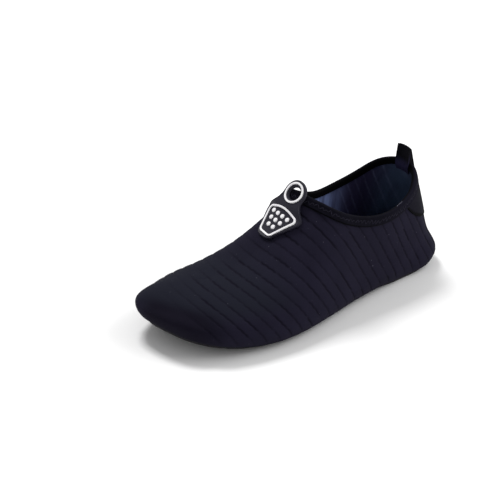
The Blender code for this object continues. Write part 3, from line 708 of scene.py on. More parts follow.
def brushed_lining(name, settings):
    """Brushed polyester jersey: soft blue-grey nap, with paler lines where the grooves press through.

    The colour is painted light and shade along the shoe: pale by the throat where light falls in, dark
    amidships in shade and grey at the heel.
    """
    material, tree, where = new_material(name)
    # Painted light and shade along the shoe: pale by the throat, dark amidships, grey at the heel
    middle = zone(tree, where, ("Y", 40, 76))
    base = blend(tree, middle, tone(settings.lining_throat_light), tone(settings.lining_middle_shade))
    base = blend(tree, zone(tree, where, ("Y", 88, 108)), base, tone(settings.lining))
    lines = ramp(tree, marked(tree), 0.0, 1.0, most=0.22)
    base = blend(tree, lines, base, tone(settings.lining_line))
    # Brushed streaks 7 mm wide that run down the wall
    drawn = add(tree, "ShaderNodeMapping", {}, {"Vector": where, "Scale": (0.3, 1.0, 0.16)})
    streak = noise(tree, drawn.outputs["Vector"], 7 * MM, 2.0)
    base = blend(tree, ramp(tree, streak, 0.42, 0.68, most=0.6), base, tone(settings.lining_middle_shade, 0.7))
    # Nap of fibres about 0.6 mm long, drawn at 1 mm
    nap = bump(tree, noise(tree, where, 1.0 * MM, 2.0), 0.4, 0.25 * MM)
    cloth(tree, base, nap, 0.9, sheen=0.02, sheen_roughness=0.4)
    return material


def elastic_tape(name, shade):
    """Woven elastic tape: near black, matt, with fine ridges, blacker at its edge by painted shadow and
    inside by painted shade, and paler towards the heel by painted light.
    """
    material, tree, where = new_material(name)
    base = mottled(tree, where, 6 * MM, shade, 0.8, 1.2)
    # Painted light: paler towards the heel
    base = blend(tree, zone(tree, where, ("Y", 30, 90)), base, tone(shade, 1.8))
    # Painted shadow along the lower edge and painted shade inside, where the mesh is marked
    base = blend(tree, marked(tree), base, tone(shade, 0.12))
    # Weft ridges under a millimetre apart, drawn as coarse as they need to show
    cloth(tree, base, bump(tree, noise(tree, where, 1.1 * MM, 1.0), 0.5, 0.25 * MM), 0.8)
    return material


def twill_tape(name, shade, inside):
    """Polyester twill tape: black, with diagonal ribs and a slight gloss, bluer inside the shoe."""
    material, tree, where = new_material(name)
    base = mottled(tree, where, 5 * MM, shade, 0.8, 1.25)
    base = blend(tree, marked(tree), base, tone(inside))
    turned = add(tree, "ShaderNodeMapping", {}, {"Vector": where, "Rotation": (0.0, math.radians(50), 0.0)})
    # Twill ribs 1.2 mm apart
    twill = add(tree, "ShaderNodeTexWave", {"bands_direction": "X"},
                {"Vector": turned.outputs["Vector"], "Scale": 1 / (1.2 * MM) / WAVE_PER_SCALE,
                 "Distortion": 0.6, "Detail": 1.0})
    ribs = bump(tree, twill.outputs["Fac"], 0.5, 0.2 * MM)
    cloth(tree, base, ribs, 0.65, specular=0.02, sheen_roughness=0.4)
    return material


def smooth_stretch_cloth(name, shade):
    """Smooth tricot: dark grey and even, with a very fine grain, and a painted shadow that blackens it along
    its hot-cut edge.
    """
    material, tree, where = new_material(name)
    base = mottled(tree, where, 14 * MM, shade, 0.9, 1.1)
    # Painted shadow along the cut edge, where the mesh is marked
    base = blend(tree, marked(tree), base, tone(shade, 0.15))
    grain = bump(tree, noise(tree, where, 0.8 * MM, 1.0), 0.2, 0.15 * MM)
    cloth(tree, base, grain, 0.75, sheen_roughness=0.4)
    return material


def footbed_cloth(name, shade):
    """Knitted footbed cloth over foam: matt blue-grey with a dotted mesh."""
    material, tree, where = new_material(name)
    base = mottled(tree, where, 12 * MM, shade, 0.85, 1.2)
    # Mesh cells 2 mm wide
    cells = add(tree, "ShaderNodeTexVoronoi", {}, {"Vector": where, "Scale": 1 / (2.0 * MM),
                                                  "Randomness": 0.35})
    cloth(tree, base, bump(tree, cells.outputs["Distance"], 0.5, 0.3 * MM), 0.9)
    return material


def moulded_rubber(name, shade, roughness, grit, depth, spread=0.1):
    """Moulded rubber: satin skin over a fine grit from the mould, with slight patches of wear."""
    material, tree, where = new_material(name)
    base = mottled(tree, where, 7 * MM, shade, 1 - spread, 1 + spread)
    grains = noise(tree, where, grit, 2.0)
    rough = ramp(tree, grains, 0.0, 1.0, roughness - 0.1, roughness + 0.1)
    add(tree, "Principled BSDF", {}, {
        "Base Color": base, "Roughness": rough, "Specular IOR Level": 0.3,
        "Normal": bump(tree, grains, 0.4, depth)})
    return material


def spun_thread(name, shade):
    """Spun polyester thread: dull, with a little sheen, and uneven from stitch to stitch."""
    material, tree, where = new_material(name)
    base = mottled(tree, where, 1.5 * MM, shade, 0.7, 1.4)
    add(tree, "Principled BSDF", {}, {
        "Base Color": base, "Roughness": 0.7, "Specular IOR Level": 0.1, "Sheen Weight": 0.02,
        "Sheen Roughness": 0.4})
    return material


# Upper

def rib_scale(points):
    """Place of points on the scale of the pressed ribs."""
    along = along_of(points)
    lean = (RIB_LEAN + RIB_LEAN_MORE * along / LENGTH) * points[..., 2]
    return along - lean + RIB_BOW * (points[..., 0] - RIB_BOW_FROM) ** 2


def scatter(one, other):
    """A value from 0 to 1 that looks random, always the same for the same two numbers."""
    return np.mod(np.sin(12.9898 * one + 78.233 * other) * 43758.5453, 1.0)


def dash_of(number, part):
    """Number of the dash of a broken groove at a part of its length, and the place within it."""
    run = DASHES * part + scatter(number, 0.5)
    return np.floor(run), run - np.floor(run)


def wander(number, part):
    """How the groove nearest to a number strays from its line, from about -1 to 1."""
    number = np.round(number)
    dash, within = dash_of(number, part)
    here, after = (2 * scatter(number, dash + step) - 1 for step in (0, 1))
    aside = here + (after - here) * soft_step(1 - DASH_END, 1.0, within)
    return DASH_ASIDE * aside + DASH_SWAY * np.sin(math.tau * (DASH_WAVES * part + DASH_SHIFT * number))


def pressing(number, part):
    """How firmly the dashes of a groove are pressed in: unevenly, and hardly at all between them."""
    dash, within = dash_of(number, part)
    firm = DASH_FIRM + DASH_UNEVEN * scatter(dash + 3.7, number)
    inside = soft_step(0, DASH_END, within) * (1 - soft_step(1 - DASH_END, 1.0, within))
    return firm * (DASH_GAP + (1 - DASH_GAP) * inside)


def upper_columns():
    """Numbers of the columns on the rib scale, where whole numbers are grooves, and the throat's."""
    numbers = np.array([n + part for n in range(RIB_FIRST, RIB_FINAL) for part in RIB_COLUMNS])
    throat = rib_scale(last(throat_turn(FOLD), 1.0))
    number = bisect(RIB_FIRST, RIB_FINAL, lambda n: read_stops(RIB_STOPS, n)[0] > throat)
    return np.sort(np.append(numbers, number)), float(number)


def spread_ends(scale, turns, levels):
    """The rib scale along a row, made to rise steadily up to the heel line and the toe line."""
    scale = np.maximum.accumulate(scale)
    heel = np.searchsorted(turns, HEEL_SPREAD)
    scale[:heel] = levels[0] + (scale[heel] - levels[0]) * turns[:heel] / turns[heel]
    beyond = np.flatnonzero(scale > TOE_SPREAD)
    if len(beyond):
        toe = beyond[0]
        part = (turns[toe:] - turns[toe]) / max(turns[-1] - turns[toe], 1e-9)
        scale[toe:] = scale[toe] + (levels[-1] - scale[toe]) * part
    return scale


def half_upper(medial, numbers, parts, stray):
    """Turns and rises of one side's net: its columns follow the pressed ribs."""
    dense = np.linspace(0, TOE, DENSE_TURNS)
    round_way = ROUND - dense if medial else dense
    tops = rise_at_line(round_way, collar_edge)
    window = np.hanning(2 * EASE_TURNS + 3)[1:-1]
    eased = np.convolve(np.pad(tops, EASE_TURNS, mode="edge"), window / window.sum(), mode="valid")
    rows = [np.full(DENSE_TURNS, foot) for foot in FOOT_ROWS]
    rows += [part * (tops + (eased - tops) * (1 - part ** EASE_POWER)) for part in parts[len(rows):]]
    levels = read_stops(RIB_STOPS, numbers)[0]
    ends = np.ones(len(numbers))
    ends[0] = ends[-1] = 0.0
    turns, rises = [], []
    for part, rise in zip(parts, rows):
        scale = spread_ends(rib_scale(last(round_way, rise)), dense, levels)
        fade = ends * (1 - soft_step(*STRAY_FADE, part))
        turn = np.interp(levels + fade * stray * wander(numbers, part), scale, dense)
        turns.append(turn)
        rises.append(np.interp(turn, dense, rise))
    turns = np.array(turns).T
    return (ROUND - turns if medial else turns), np.array(rises).T


def rounded_last(turn, rise):
    """The last with a rounded turn from its side wall to the flange under the foot."""
    ease = FOOT_ROUND * np.exp(-((rise + 1) / FOOT_ROUND_WITHIN) ** 2)
    return np.mean([last(turn, rise + step * ease) for step in np.linspace(-1, 1, FOOT_ROUND_STEPS)], axis=0)


def rib_number(scale):
    """Number on the count of grooves for places on the rib scale."""
    numbers = np.linspace(RIB_FIRST - 1, RIB_FINAL, RIB_FINE)
    return np.interp(scale, read_stops(RIB_STOPS, numbers)[0], numbers)


def groove_relief(points, rise, part, settings):
    """How far each place is pressed as a groove, and how deep it lies under the band's top."""
    scale = rib_scale(points)
    stray = settings.wander * (1 - soft_step(*STRAY_FADE, part))
    number = rib_number(scale - stray * wander(rib_number(scale), part))
    beside = number - np.round(number)
    start, lower, span = RIB_TOE_FADE
    fade = 1 - soft_step(0, span, scale - start - lower * np.clip(rise, 0, 1))
    fade = fade * soft_step(*RIB_FOOT_FADE, rise)
    over_top = soft_step(*TOP_FADE, -points[..., 0]) * soft_step(*TOP_FADE_ABOVE, part)
    fade = fade * (1 - TOP_FADE_PART * over_top * (number > TOP_FADE_AFTER))
    profile = np.exp(-(beside * RIB_PITCH / settings.groove_half) ** 2)
    pressed = profile * pressing(np.round(number), part) * fade
    pillow = 0.5 + 0.5 * np.cos(math.tau * beside)
    return pressed, settings.groove_depth * pressed + settings.crown * pillow * fade


def crease_relief(points):
    """How deep the soft creases press the knit in."""
    deep = np.zeros(points.shape[:-1])
    for crease in CREASES:
        turn, rise = np.array(crease.places).T
        line = smooth_line(last(turn, rise), CREASE_STEPS)
        apart = np.min([np.linalg.norm(points - spot, axis=-1) for spot in line], axis=0)
        deep += crease.depth * np.exp(-(apart / crease.half) ** 2)
    return deep


class SHOE_OT_upper(bpy.types.Operator):
    """Builds the knitted upper with its pressed grooves and its lining"""
    bl_idname = "shoe.upper"
    bl_label = "Upper"

    def execute(self, context):
        settings = context.scene.shoe_knit
        numbers, throat = upper_columns()
        parts = np.concatenate([np.zeros(len(FOOT_ROWS)), closing_in(WALL_ROWS, CLOSER_AT_TOP)])
        sides = []
        for medial in (False, True):
            turns, rises = half_upper(medial, numbers, parts, settings.wander)
            skin, out = rounded_last(turns, rises), outward(turns, rises)
            pressed, relief = groove_relief(skin, rises, parts, settings)
            creased = crease_relief(skin)
            outer = skin - out * (relief + creased)[..., None]
            inner = skin - out * (WALL + creased + LINING_PRESS * settings.groove_depth * pressed)[..., None]
            inner[:, 0, :2] = outer[:, 0, :2]
            sides.append((outer, inner, pressed))
        in_front = numbers >= throat
        for layer in (0, 1):
            lateral, medial = sides[0][layer], sides[1][layer]
            ridge = (lateral[in_front, -1] + medial[in_front, -1]) / 2
            lateral[in_front, -1] = ridge
            medial[in_front, -1] = ridge
        outer, inner, pressed = (np.concatenate([a, b[::-1]]) for a, b in zip(*sides))

        bm = bmesh.new()
        net(bm, outer, pressed)
        made = set(bm.faces)
        feet = len(FOOT_ROWS)
        rows = [*range(feet), *range(feet, outer.shape[1], LINING_EVERY)]
        net(bm, inner[:, rows], pressed[:, rows])
        for face in bm.faces:
            face.material_index = 0 if face in made else 1
        weld(bm)
        for at_collar in (False, True):
            rim = [e for e in open_edges(bm) if (e.verts[0].co.z > INSTEP_HEIGHT / 2) == at_collar]
            bmesh.ops.bridge_loops(bm, edges=rim)
        finish(bm, "knit_upper", [stretch_knit("pressed_stretch_knit", settings),
                                  brushed_lining("brushed_jersey_lining", settings)],
               ["upper"])
        return {"FINISHED"}


# Collar

def collar_ring():
    """Parts of the way from the heel to the throat, out on the lateral side and back on the medial."""
    half = closing_in(BINDING_STEPS, CLOSER_AT_THROAT)
    parts = np.concatenate([half, half[-2:0:-1]])
    return parts, np.arange(len(parts)) > BINDING_STEPS


COLLAR_PARTS, COLLAR_MEDIAL = collar_ring()


def below_edge(below):
    """Places on the last on the line a distance below the upper's edge, and the ways out of it."""
    turn = COLLAR_PARTS * throat_turn(FOLD + below)
    turn = np.where(COLLAR_MEDIAL, ROUND - turn, turn)
    rise = rise_at_line(turn, lambda along: collar_line(along, FOLD + below))
    out = outward(turn, rise)
    out[COLLAR_PARTS == 1.0] *= (0, 1, 1)
    return last(turn, rise), unit(out)


def collar_frames():
    """Places on the upper's edge, the way out of the wall and the way up over its edge."""
    edge, out = below_edge(0.0)
    run = np.roll(edge, -1, axis=0) - np.roll(edge, 1, axis=0)
    over = unit(np.cross(out, run))
    below, _ = below_edge(1.0 * MM)
    over *= np.sign(np.sum(over * (edge - below), axis=1))[:, None]
    return edge, out, over


def fold(edge, out, over, lift_out, lift_in, angles):
    """Points over the collar's edge, from the outside of the wall to its inside."""
    centre = edge - out * WALL / 2
    points = []
    for angle in angles:
        reach = WALL / 2 + lift_out + (lift_in - lift_out) * angle / math.pi
        points.append(centre + reach * (math.cos(angle) * out + math.sin(angle) * over))
    return points


ZIGZAG_LOW, ZIGZAG_HIGH = 3.0 * MM, 0.8 * MM
BINDING_ROUND = 0.7 * MM
BINDING_DROPS = (5.2, 5.17, 5.08, 4.9, 4.65, 4.4, 4.0, 3.6, 3.2, 2.8, 2.4, 2.0, 1.6, 1.2, 0.8, 0.4)
BINDING_INNER_DROPS = (0.6, 1.2, 1.8, 2.3, 2.6, 2.85, 3.05, 3.16, 3.2)
SLOT_DROPS = (0.35, 0.7)
# Angles over the fold between which painted shade darkens it towards the inside
FOLD_STEPS, FOLD_DARK = 11, (0.9, 2.2)
SEAM_HALF, SEAM_DENT = 1.6 * MM, 0.12 * MM
PUCKER, PUCKER_SWAY = 1.5, 0.5
# Painted shadow: a dark line along the lower edge, weak at the heel and full towards the throat
EDGE_LINE, EDGE_LEAST, EDGE_FROM = (0.2 * MM, 1.0 * MM), 0.1, (0.35, 0.62)


class SHOE_OT_collar_binding(bpy.types.Operator):
    """Builds the folded elastic binding round the collar"""
    bl_idname = "shoe.collar_binding"
    bl_label = "Collar binding"

    def execute(self, context):
        settings = context.scene.shoe_trim
        edge, out, over = collar_frames()
        run = run_along(edge)
        rows, marks = [], []
        full = np.ones(len(edge))
        forward = EDGE_LEAST + (1 - EDGE_LEAST) * soft_step(*EDGE_FROM, COLLAR_PARTS)
        middle = (ZIGZAG_LOW + ZIGZAG_HIGH) / 2
        for drop in BINDING_DROPS:
            drop *= MM
            spot, way = below_edge(drop)
            lift = GAP + BINDING * round_edge(BINDING_OUTSIDE - drop, BINDING_ROUND)
            sewn = math.exp(-((drop - middle) / SEAM_HALF) ** 2)
            pucker = PUCKER + PUCKER_SWAY * np.cos(math.tau * run / (2 * settings.zigzag))
            rows.append(spot + way * (lift - sewn * SEAM_DENT * pucker)[:, None])
            # Painted shadow along the lower edge
            marks.append(forward * (1 - soft_step(*EDGE_LINE, BINDING_OUTSIDE - drop)))
        angles = np.linspace(0, math.pi, FOLD_STEPS)
        rows += fold(edge, out, over, GAP + BINDING, INNER_GAP + BINDING, angles)
        marks += [full * soft_step(*FOLD_DARK, angle) for angle in angles]
        # Painted shade over the whole inner side
        for drop in BINDING_INNER_DROPS:
            drop *= MM
            spot, way = below_edge(drop)
            lift = INNER_GAP + BINDING * round_edge(BINDING_INSIDE - drop, BINDING_ROUND)
            rows.append(spot - way * (WALL + lift))
            marks.append(full)
        slot = fold(edge, out, over, GAP, INNER_GAP, angles[::-2])
        for drop in SLOT_DROPS:
            spot, way = below_edge(BINDING_OUTSIDE * drop)
            slot.append(spot + way * GAP)
        rows += slot
        marks += [full] * len(slot)
        bm = bmesh.new()
        ring_net(bm, np.stack(rows, axis=1), np.stack(marks, axis=1))
        weld(bm)
        finish(bm, "elastic_binding", [elastic_tape("elastic_binding_tape", settings.binding)],
               ["collar_binding"])
        return {"FINISHED"}


# Heel

def heel_patch_line(along):
    """Lower edge of the smooth patch, lowest at the back."""
    part = np.clip((along - HEEL_PATCH_BACK) / (HEEL_PATCH_FRONT - HEEL_PATCH_BACK), 0, 1)
    return HEEL_PATCH_LOW + HEEL_PATCH_RISE * part ** 3


PATCH_COLUMNS, PATCH_ROWS, CLOSER_AT_CUT = 150, 26, 1.8
PATCH_ROUND = 0.9 * MM
PATCH_SUNK, PATCH_PROUD = 0.2 * MM, 0.06 * MM
PATCH_UNDER_BINDING = 1.5 * MM
PATCH_SEAM, PATCH_SEAM_HALF, PATCH_SEAM_DEPTH = 2.2 * MM, 0.6 * MM, 0.25 * MM
# Painted shadow: a dark band along the cut edge, wider towards the front
PATCH_EDGE, PATCH_EDGE_LEAST, PATCH_EDGE_FROM = 2.2 * MM, 0.6, (15 * MM, 35 * MM)
PATCH_EDGE_SOFT = (0.5, 1.0)


def both_ends(steps, power):
    """Parts from 0 to 1 that lie closer together towards both."""
    part = np.linspace(-1, 1, steps + 1)
    return 0.5 + 0.5 * np.sign(part) * (1 - (1 - np.abs(part)) ** power)


class SHOE_OT_heel_patch(bpy.types.Operator):
    """Builds the smooth cloth patch round the back of the heel"""
    bl_idname = "shoe.heel_patch"
    bl_label = "Heel patch"

    def execute(self, context):
        settings = context.scene.shoe_trim
        turns = HEEL_PATCH_REACH * (2 * both_ends(PATCH_COLUMNS, CLOSER_AT_CUT) - 1)
        below = FOLD + BINDING_OUTSIDE - PATCH_UNDER_BINDING
        head = rise_at_line(turns, lambda along: collar_line(along, below))
        foot = rise_at_line(turns, heel_patch_line)
        steps = 1 - closing_in(PATCH_ROWS, CLOSER_AT_CUT)[::-1]
        rises = foot[:, None] + (head - foot)[:, None] * steps
        spread = np.tile(turns[:, None], (1, len(steps)))
        skin, out = last(spread, rises), outward(spread, rises)
        from_foot = np.linalg.norm(skin - skin[:, :1], axis=-1)
        from_end = np.minimum(np.linalg.norm(skin - skin[:1], axis=-1),
                              np.linalg.norm(skin - skin[-1:], axis=-1))
        thick = PATCH_CLOTH * round_edge(from_foot, PATCH_ROUND) * round_edge(from_end, PATCH_ROUND)
        dip = np.exp(-((from_foot - PATCH_SEAM) / PATCH_SEAM_HALF) ** 2) * PATCH_SEAM_DEPTH
        front = skin + out * (PATCH_PROUD + thick - dip)[..., None]
        back = skin - out * PATCH_SUNK
        band = PATCH_EDGE * (PATCH_EDGE_LEAST + soft_step(*PATCH_EDGE_FROM, along_of(skin)))
        dark = 1 - soft_step(*PATCH_EDGE_SOFT, np.minimum(from_foot, from_end) / band)
        bm = bmesh.new()
        net(bm, front, dark)
        net(bm, back, np.ones_like(dark))
        weld(bm)
        bmesh.ops.bridge_loops(bm, edges=open_edges(bm))
        finish(bm, "smooth_heel_patch", [smooth_stretch_cloth("smooth_tricot_cloth", settings.heel)],
               ["heel_patch"])
        return {"FINISHED"}


TAPE_STATIONS = 33
TAPE_OUTER_STEPS, TAPE_INNER_STEPS, TAPE_FOLD_STEPS = 60, 36, 9
TAPE_DROPS = (TAPE_OUTSIDE, TAPE_OUTSIDE * 0.75, TAPE_OUTSIDE / 2)
# Steps between which the tape turns bluer inside the shoe
TAPE_INNER = (44, 54)


def at_side(side, points, values):
    """Values at a place across the heel, read between places of the collar near its back."""
    back = np.flatnonzero((points[:, 1] > 0) & (np.abs(points[:, 0]) < TAPE_WIDTH))
    back = back[np.argsort(points[back, 0])]
    return read_chain(side, points[back, 0], values[back])


class SHOE_OT_pull_tape(bpy.types.Operator):
    """Builds the folded pull tape at the heel"""
    bl_idname = "shoe.pull_tape"
    bl_label = "Pull tape"

    def execute(self, context):
        settings = context.scene.shoe_trim
        edges, outs, overs = collar_frames()
        lines = {drop: below_edge(drop) for drop in (*TAPE_DROPS, TAPE_INSIDE)}
        clear = GAP + BINDING + TAPE_CLEAR
        thick = clear + TAPE
        deep = clear + TAPE + INNER_GAP - GAP
        back = np.array((0.0, TAPE, 0.0))
        tip = np.array((0.0, 0.0, TAPE / 2))

        def off(side, drop, lift):
            spots, ways = lines[drop]
            return at_side(side, spots, spots) + unit(at_side(side, spots, ways)) * lift

        sections = []
        reach = np.linspace(-TAPE_WIDTH / 2, TAPE_WIDTH / 2, TAPE_STATIONS)
        for side in TAPE_SIDE - SIDE_CENTRE + reach:
            edge, out, over = (at_side(side, edges, way) for way in (edges, outs, overs))
            head = edge + over * FOLD + np.array((0, -FOLD, TAPE_STANDS))
            outer = [off(side, drop, thick) for drop in TAPE_DROPS]
            outer += [edge + out * thick + over * FOLD / 2]
            outer += [head + back, head + back * TAPE_FOLD + tip]
            outer += [head - back * TAPE_FOLD + tip, head - back]
            outer += [edge - out * (WALL + deep) + over * FOLD / 2, off(side, TAPE_INSIDE, -WALL - deep)]
            inner = [off(side, TAPE_INSIDE, -WALL - deep + TAPE)]
            inner += fold(edge, out, over, clear, deep - TAPE, np.linspace(math.pi, 0, TAPE_FOLD_STEPS))
            inner += [off(side, drop, clear) for drop in TAPE_DROPS[::-2]]
            section = np.concatenate([smooth_line(outer, TAPE_OUTER_STEPS),
                                      smooth_line(inner, TAPE_INNER_STEPS)])
            section[:, 0] = side
            sections.append(section)
        sections = np.array(sections)
        sections = np.concatenate([sections, sections[:, :1]], axis=1)
        inside = soft_step(*TAPE_INNER, np.arange(sections.shape[1]))
        inside[TAPE_OUTER_STEPS + 1:] = 0.0
        bm = bmesh.new()
        net(bm, sections, np.tile(inside, (len(sections), 1)))
        weld(bm)
        bmesh.ops.holes_fill(bm, edges=open_edges(bm), sides=0)
        twill = twill_tape("polyester_twill_tape", settings.tape, settings.tape_inside)
        finish(bm, "folded_pull_tape", [twill], ["pull_tape"])
        return {"FINISHED"}


# Stitches

STITCH_OVER = 0.3
STITCH_UNEVEN = 0.7
LOOSE_THREAD, LOOSE_ANGLE = (3.3, 2.96), math.radians(84)
LOOSE_POINTS, LOOSE_THICK = 6, 0.35


def lay_stitch(bm, start, end, out, thread):
    """One stitch: a short rounded bead of thread between two needle holes."""
    way = Vector(end - start)
    along = way.normalized()
    up = Vector(out)
    side = along.cross(up).normalized()
    up = side.cross(along)
    half = way.length / 2 + thread * STITCH_OVER
    turn = Matrix((along * half, side * thread / 2, up * thread / 2)).transposed().to_4x4()
    turn.translation = Vector((start + end) / 2)
    made = bmesh.ops.create_icosphere(bm, subdivisions=1, radius=1.0)["verts"]
    bmesh.ops.transform(bm, matrix=turn, verts=made)


class SHOE_OT_stitches(bpy.types.Operator):
    """Lays the zigzag seam of the binding, with a loose end of thread"""
    bl_idname = "shoe.stitches"
    bl_label = "Stitches"

    def execute(self, context):
        settings = context.scene.shoe_trim
        thread = settings.thread
        bm = bmesh.new()
        low, low_out = below_edge(ZIGZAG_LOW)
        high, high_out = below_edge(ZIGZAG_HIGH)
        run = run_along(low)
        lift = GAP + BINDING - SEAM_DENT
        count = 2 * int(run[-1] / settings.zigzag / 2)
        step = np.arange(count + 1)
        uneven = (scatter(step, 0.3) - 0.5) * STITCH_UNEVEN * ((step > 0) & (step < count))
        at = (step + uneven) * run[-1] / count
        down, up = (read_chain(at, run, line) for line in (low + low_out * lift, high + high_out * lift))
        part = np.where(step % 2 == 0, 0.0, 1.0) + (scatter(step, 1.7) - 0.5) * STITCH_UNEVEN
        spots = down + (up - down) * part[:, None]
        ways = unit(read_chain(at, run, low_out))
        for k in range(count):
            lay_stitch(bm, spots[k], spots[k + 1], ways[k], thread)
        seam = set(bm.faces)
        half = slice(0, BINDING_STEPS + 1)
        at = np.linspace(*LOOSE_THREAD, LOOSE_POINTS) / throat_turn(FOLD)
        edge, out, over = (read_chain(at, COLLAR_PARTS[half], way[half]) for way in collar_frames())
        spots = fold(edge, out, over, GAP + BINDING + thread / 2, INNER_GAP + BINDING, [LOOSE_ANGLE])[0]
        for k in range(len(at) - 1):
            lay_stitch(bm, spots[k], spots[k + 1], over[k], LOOSE_THICK * thread)
        for face in bm.faces:
            face.material_index = 0 if face in seam else 1
        finish(bm, "seam_stitches", [spun_thread("spun_polyester_thread", settings.sewing),
                                     spun_thread("pale_polyester_thread", settings.loose)],
               [])
        return {"FINISHED"}


# Sole and insole

def outline(turn, inset):
    """Plan of the last's widest line drawn in by a distance, as side and along."""
    points = last(turn, 0.0)[..., :2]
    moved = points + unit(last(turn, -2.0)[..., :2] - points) * inset
    return moved[..., 0] + SIDE_CENTRE, LENGTH / 2 - moved[..., 1]


INSOLE_TURNS = 193
INSOLE_ROUND, INSOLE_ROUND_STEPS = 0.9 * MM, 5
INSOLE_DISH, DISH_FULL = 0.9 * MM, 0.6
DISH_FIRST, DISH_ROWS = 0.06, 16


class SHOE_OT_insole(bpy.types.Operator):
    """Builds the dished footbed"""
    bl_idname = "shoe.insole"
    bl_label = "Insole"

    def execute(self, context):
        turns = np.linspace(0, ROUND, INSOLE_TURNS)
        plug, flange_top = TUCK + FLANGE + INSOLE_EASE, FEATHER + WALL + GAP
        head = flange_top + INSOLE

        def ring(inset, height):
            side, along = outline(turns, inset)
            return place(side, along, height + toe_lift(along))

        def drawn_in(edge, part, height):
            spine = (edge + edge[::-1]) / 2
            points = edge + (spine - edge) * part
            points[:, 2] = height + toe_lift(along_of(points))
            return points

        rows = [drawn_in(ring(plug, FEATHER), 1.0, FEATHER), ring(plug, FEATHER), ring(plug, flange_top)]
        rows.append(ring(INSOLE_INSET, flange_top))
        for angle in np.linspace(0, math.pi / 2, INSOLE_ROUND_STEPS):
            shrink = INSOLE_ROUND * (1 - math.cos(angle))
            rows.append(ring(INSOLE_INSET + shrink, head - INSOLE_ROUND * (1 - math.sin(angle))))
        rim = ring(INSOLE_INSET + INSOLE_ROUND, head)
        for part in np.linspace(DISH_FIRST, 1.0, DISH_ROWS):
            dish = INSOLE_DISH * soft_step(0.0, DISH_FULL, part)
            rows.append(drawn_in(rim, part, head - dish))
        bm = bmesh.new()
        net(bm, np.stack(rows, axis=1))
        weld(bm)
        knit = footbed_cloth("knitted_footbed_cloth", context.scene.shoe_knit.footbed)
        finish(bm, "dished_insole", [knit], ["insole"])
        return {"FINISHED"}


GROOVE_PROFILE = ((1.35, 0.0), (1.22, 0.04), (1.08, 0.3), (0.94, 0.8), (0.8, 0.98), (0.6, 1.0))
SIPE_PROFILE = ((0.55, 0.0), (0.35, 0.25), (0.18, 0.9), (0.0, 1.0))
SOLE_ROUND, SOLE_ROUND_STEPS = 0.8 * MM, 5
SOLE_WALL, SOLE_WALL_STEPS = 0.5 * MM, 4
SOLE_LEAST, SOLE_RIM_MIDDLE = 0.1, 0.6
SOLE_FLAT_STEPS, SOLE_END_STEPS, SOLE_WAIST_STEPS = 9, 19, 19


def sole_stations(sipe):
    """Distances along the sole, with the depth of its grooves and fine cuts there."""
    turns = np.linspace(0, TOE, OUTLINE_STEPS)
    _, along = outline(turns, TUCK + SOLE_INSET)
    heel, toe = along[0], along[-1]
    ends = (1 - np.cos(np.linspace(0, math.pi / 2, SOLE_END_STEPS))) * SOLE_END
    middle = LENGTH * np.linspace(ARCH_FROM, ARCH_TO, SOLE_WAIST_STEPS)
    stations = [(heel + d, 0.0) for d in ends] + [(toe - d, 0.0) for d in ends]
    stations += [(d, 0.0) for d in middle[1:-1]]
    for grooves in (HEEL_GROOVES, FOREFOOT_GROOVES):
        for part in grooves:
            stations += [(part * LENGTH + sign * reach * MM, depth * GROOVE)
                         for reach, depth in GROOVE_PROFILE for sign in (-1, 1)]
        for part, after in zip(grooves, grooves[1:]):
            stations += [((part + after) / 2 * LENGTH + sign * reach * MM, depth * sipe)
                         for reach, depth in SIPE_PROFILE for sign in (-1, 1)]
    return np.array(sorted(set(stations))), heel, toe


def sole_section(along, depth, left, right, bow):
    """The sole's section at a distance along: its underside with rim, groove and arch, and its top."""
    width = right - left
    rim = min(SOLE_RIM, SOLE_RIM_PART * width)
    edge = min(SOLE_ROUND, SOLE_LEAST * width)
    angles = np.linspace(0, math.pi / 2, SOLE_ROUND_STEPS)
    corner = edge * (1 - np.cos(angles))
    walls = rim + min(SOLE_WALL, SOLE_LEAST * width) * np.linspace(0, 1, SOLE_WALL_STEPS)
    flat = np.linspace(walls[-1], width / 2, SOLE_FLAT_STEPS)[1:]
    half = np.concatenate([corner, [rim * SOLE_RIM_MIDDLE], walls, flat])
    across = np.concatenate([half, width - half[-2::-1]])
    lift = np.zeros(len(across))
    lift[:SOLE_ROUND_STEPS] = edge * (1 - np.sin(angles))
    lift[-SOLE_ROUND_STEPS:] = lift[SOLE_ROUND_STEPS - 1::-1]
    inside = soft_step(walls[0], max(walls[-1], walls[0] + 1e-9), np.minimum(across, width - across))
    part = across / max(width, MM)
    bowed = along + bow * 4 * part * (1 - part)
    waist = np.clip((along / LENGTH - ARCH_FROM) / (ARCH_TO - ARCH_FROM), 0, 1)
    inner = np.clip((part - ARCH_OUTER) / (ARCH_INNER - ARCH_OUTER), 0, 1)
    arch = ARCH_LIFT * np.sin(math.pi * waist) ** 2 * inner
    under = place(right - across, bowed, toe_lift(bowed) + depth * inside + arch + lift)
    top = place(right - np.array((width, 0.0)), along, SOLE + toe_lift(along))
    return np.concatenate([under, top])


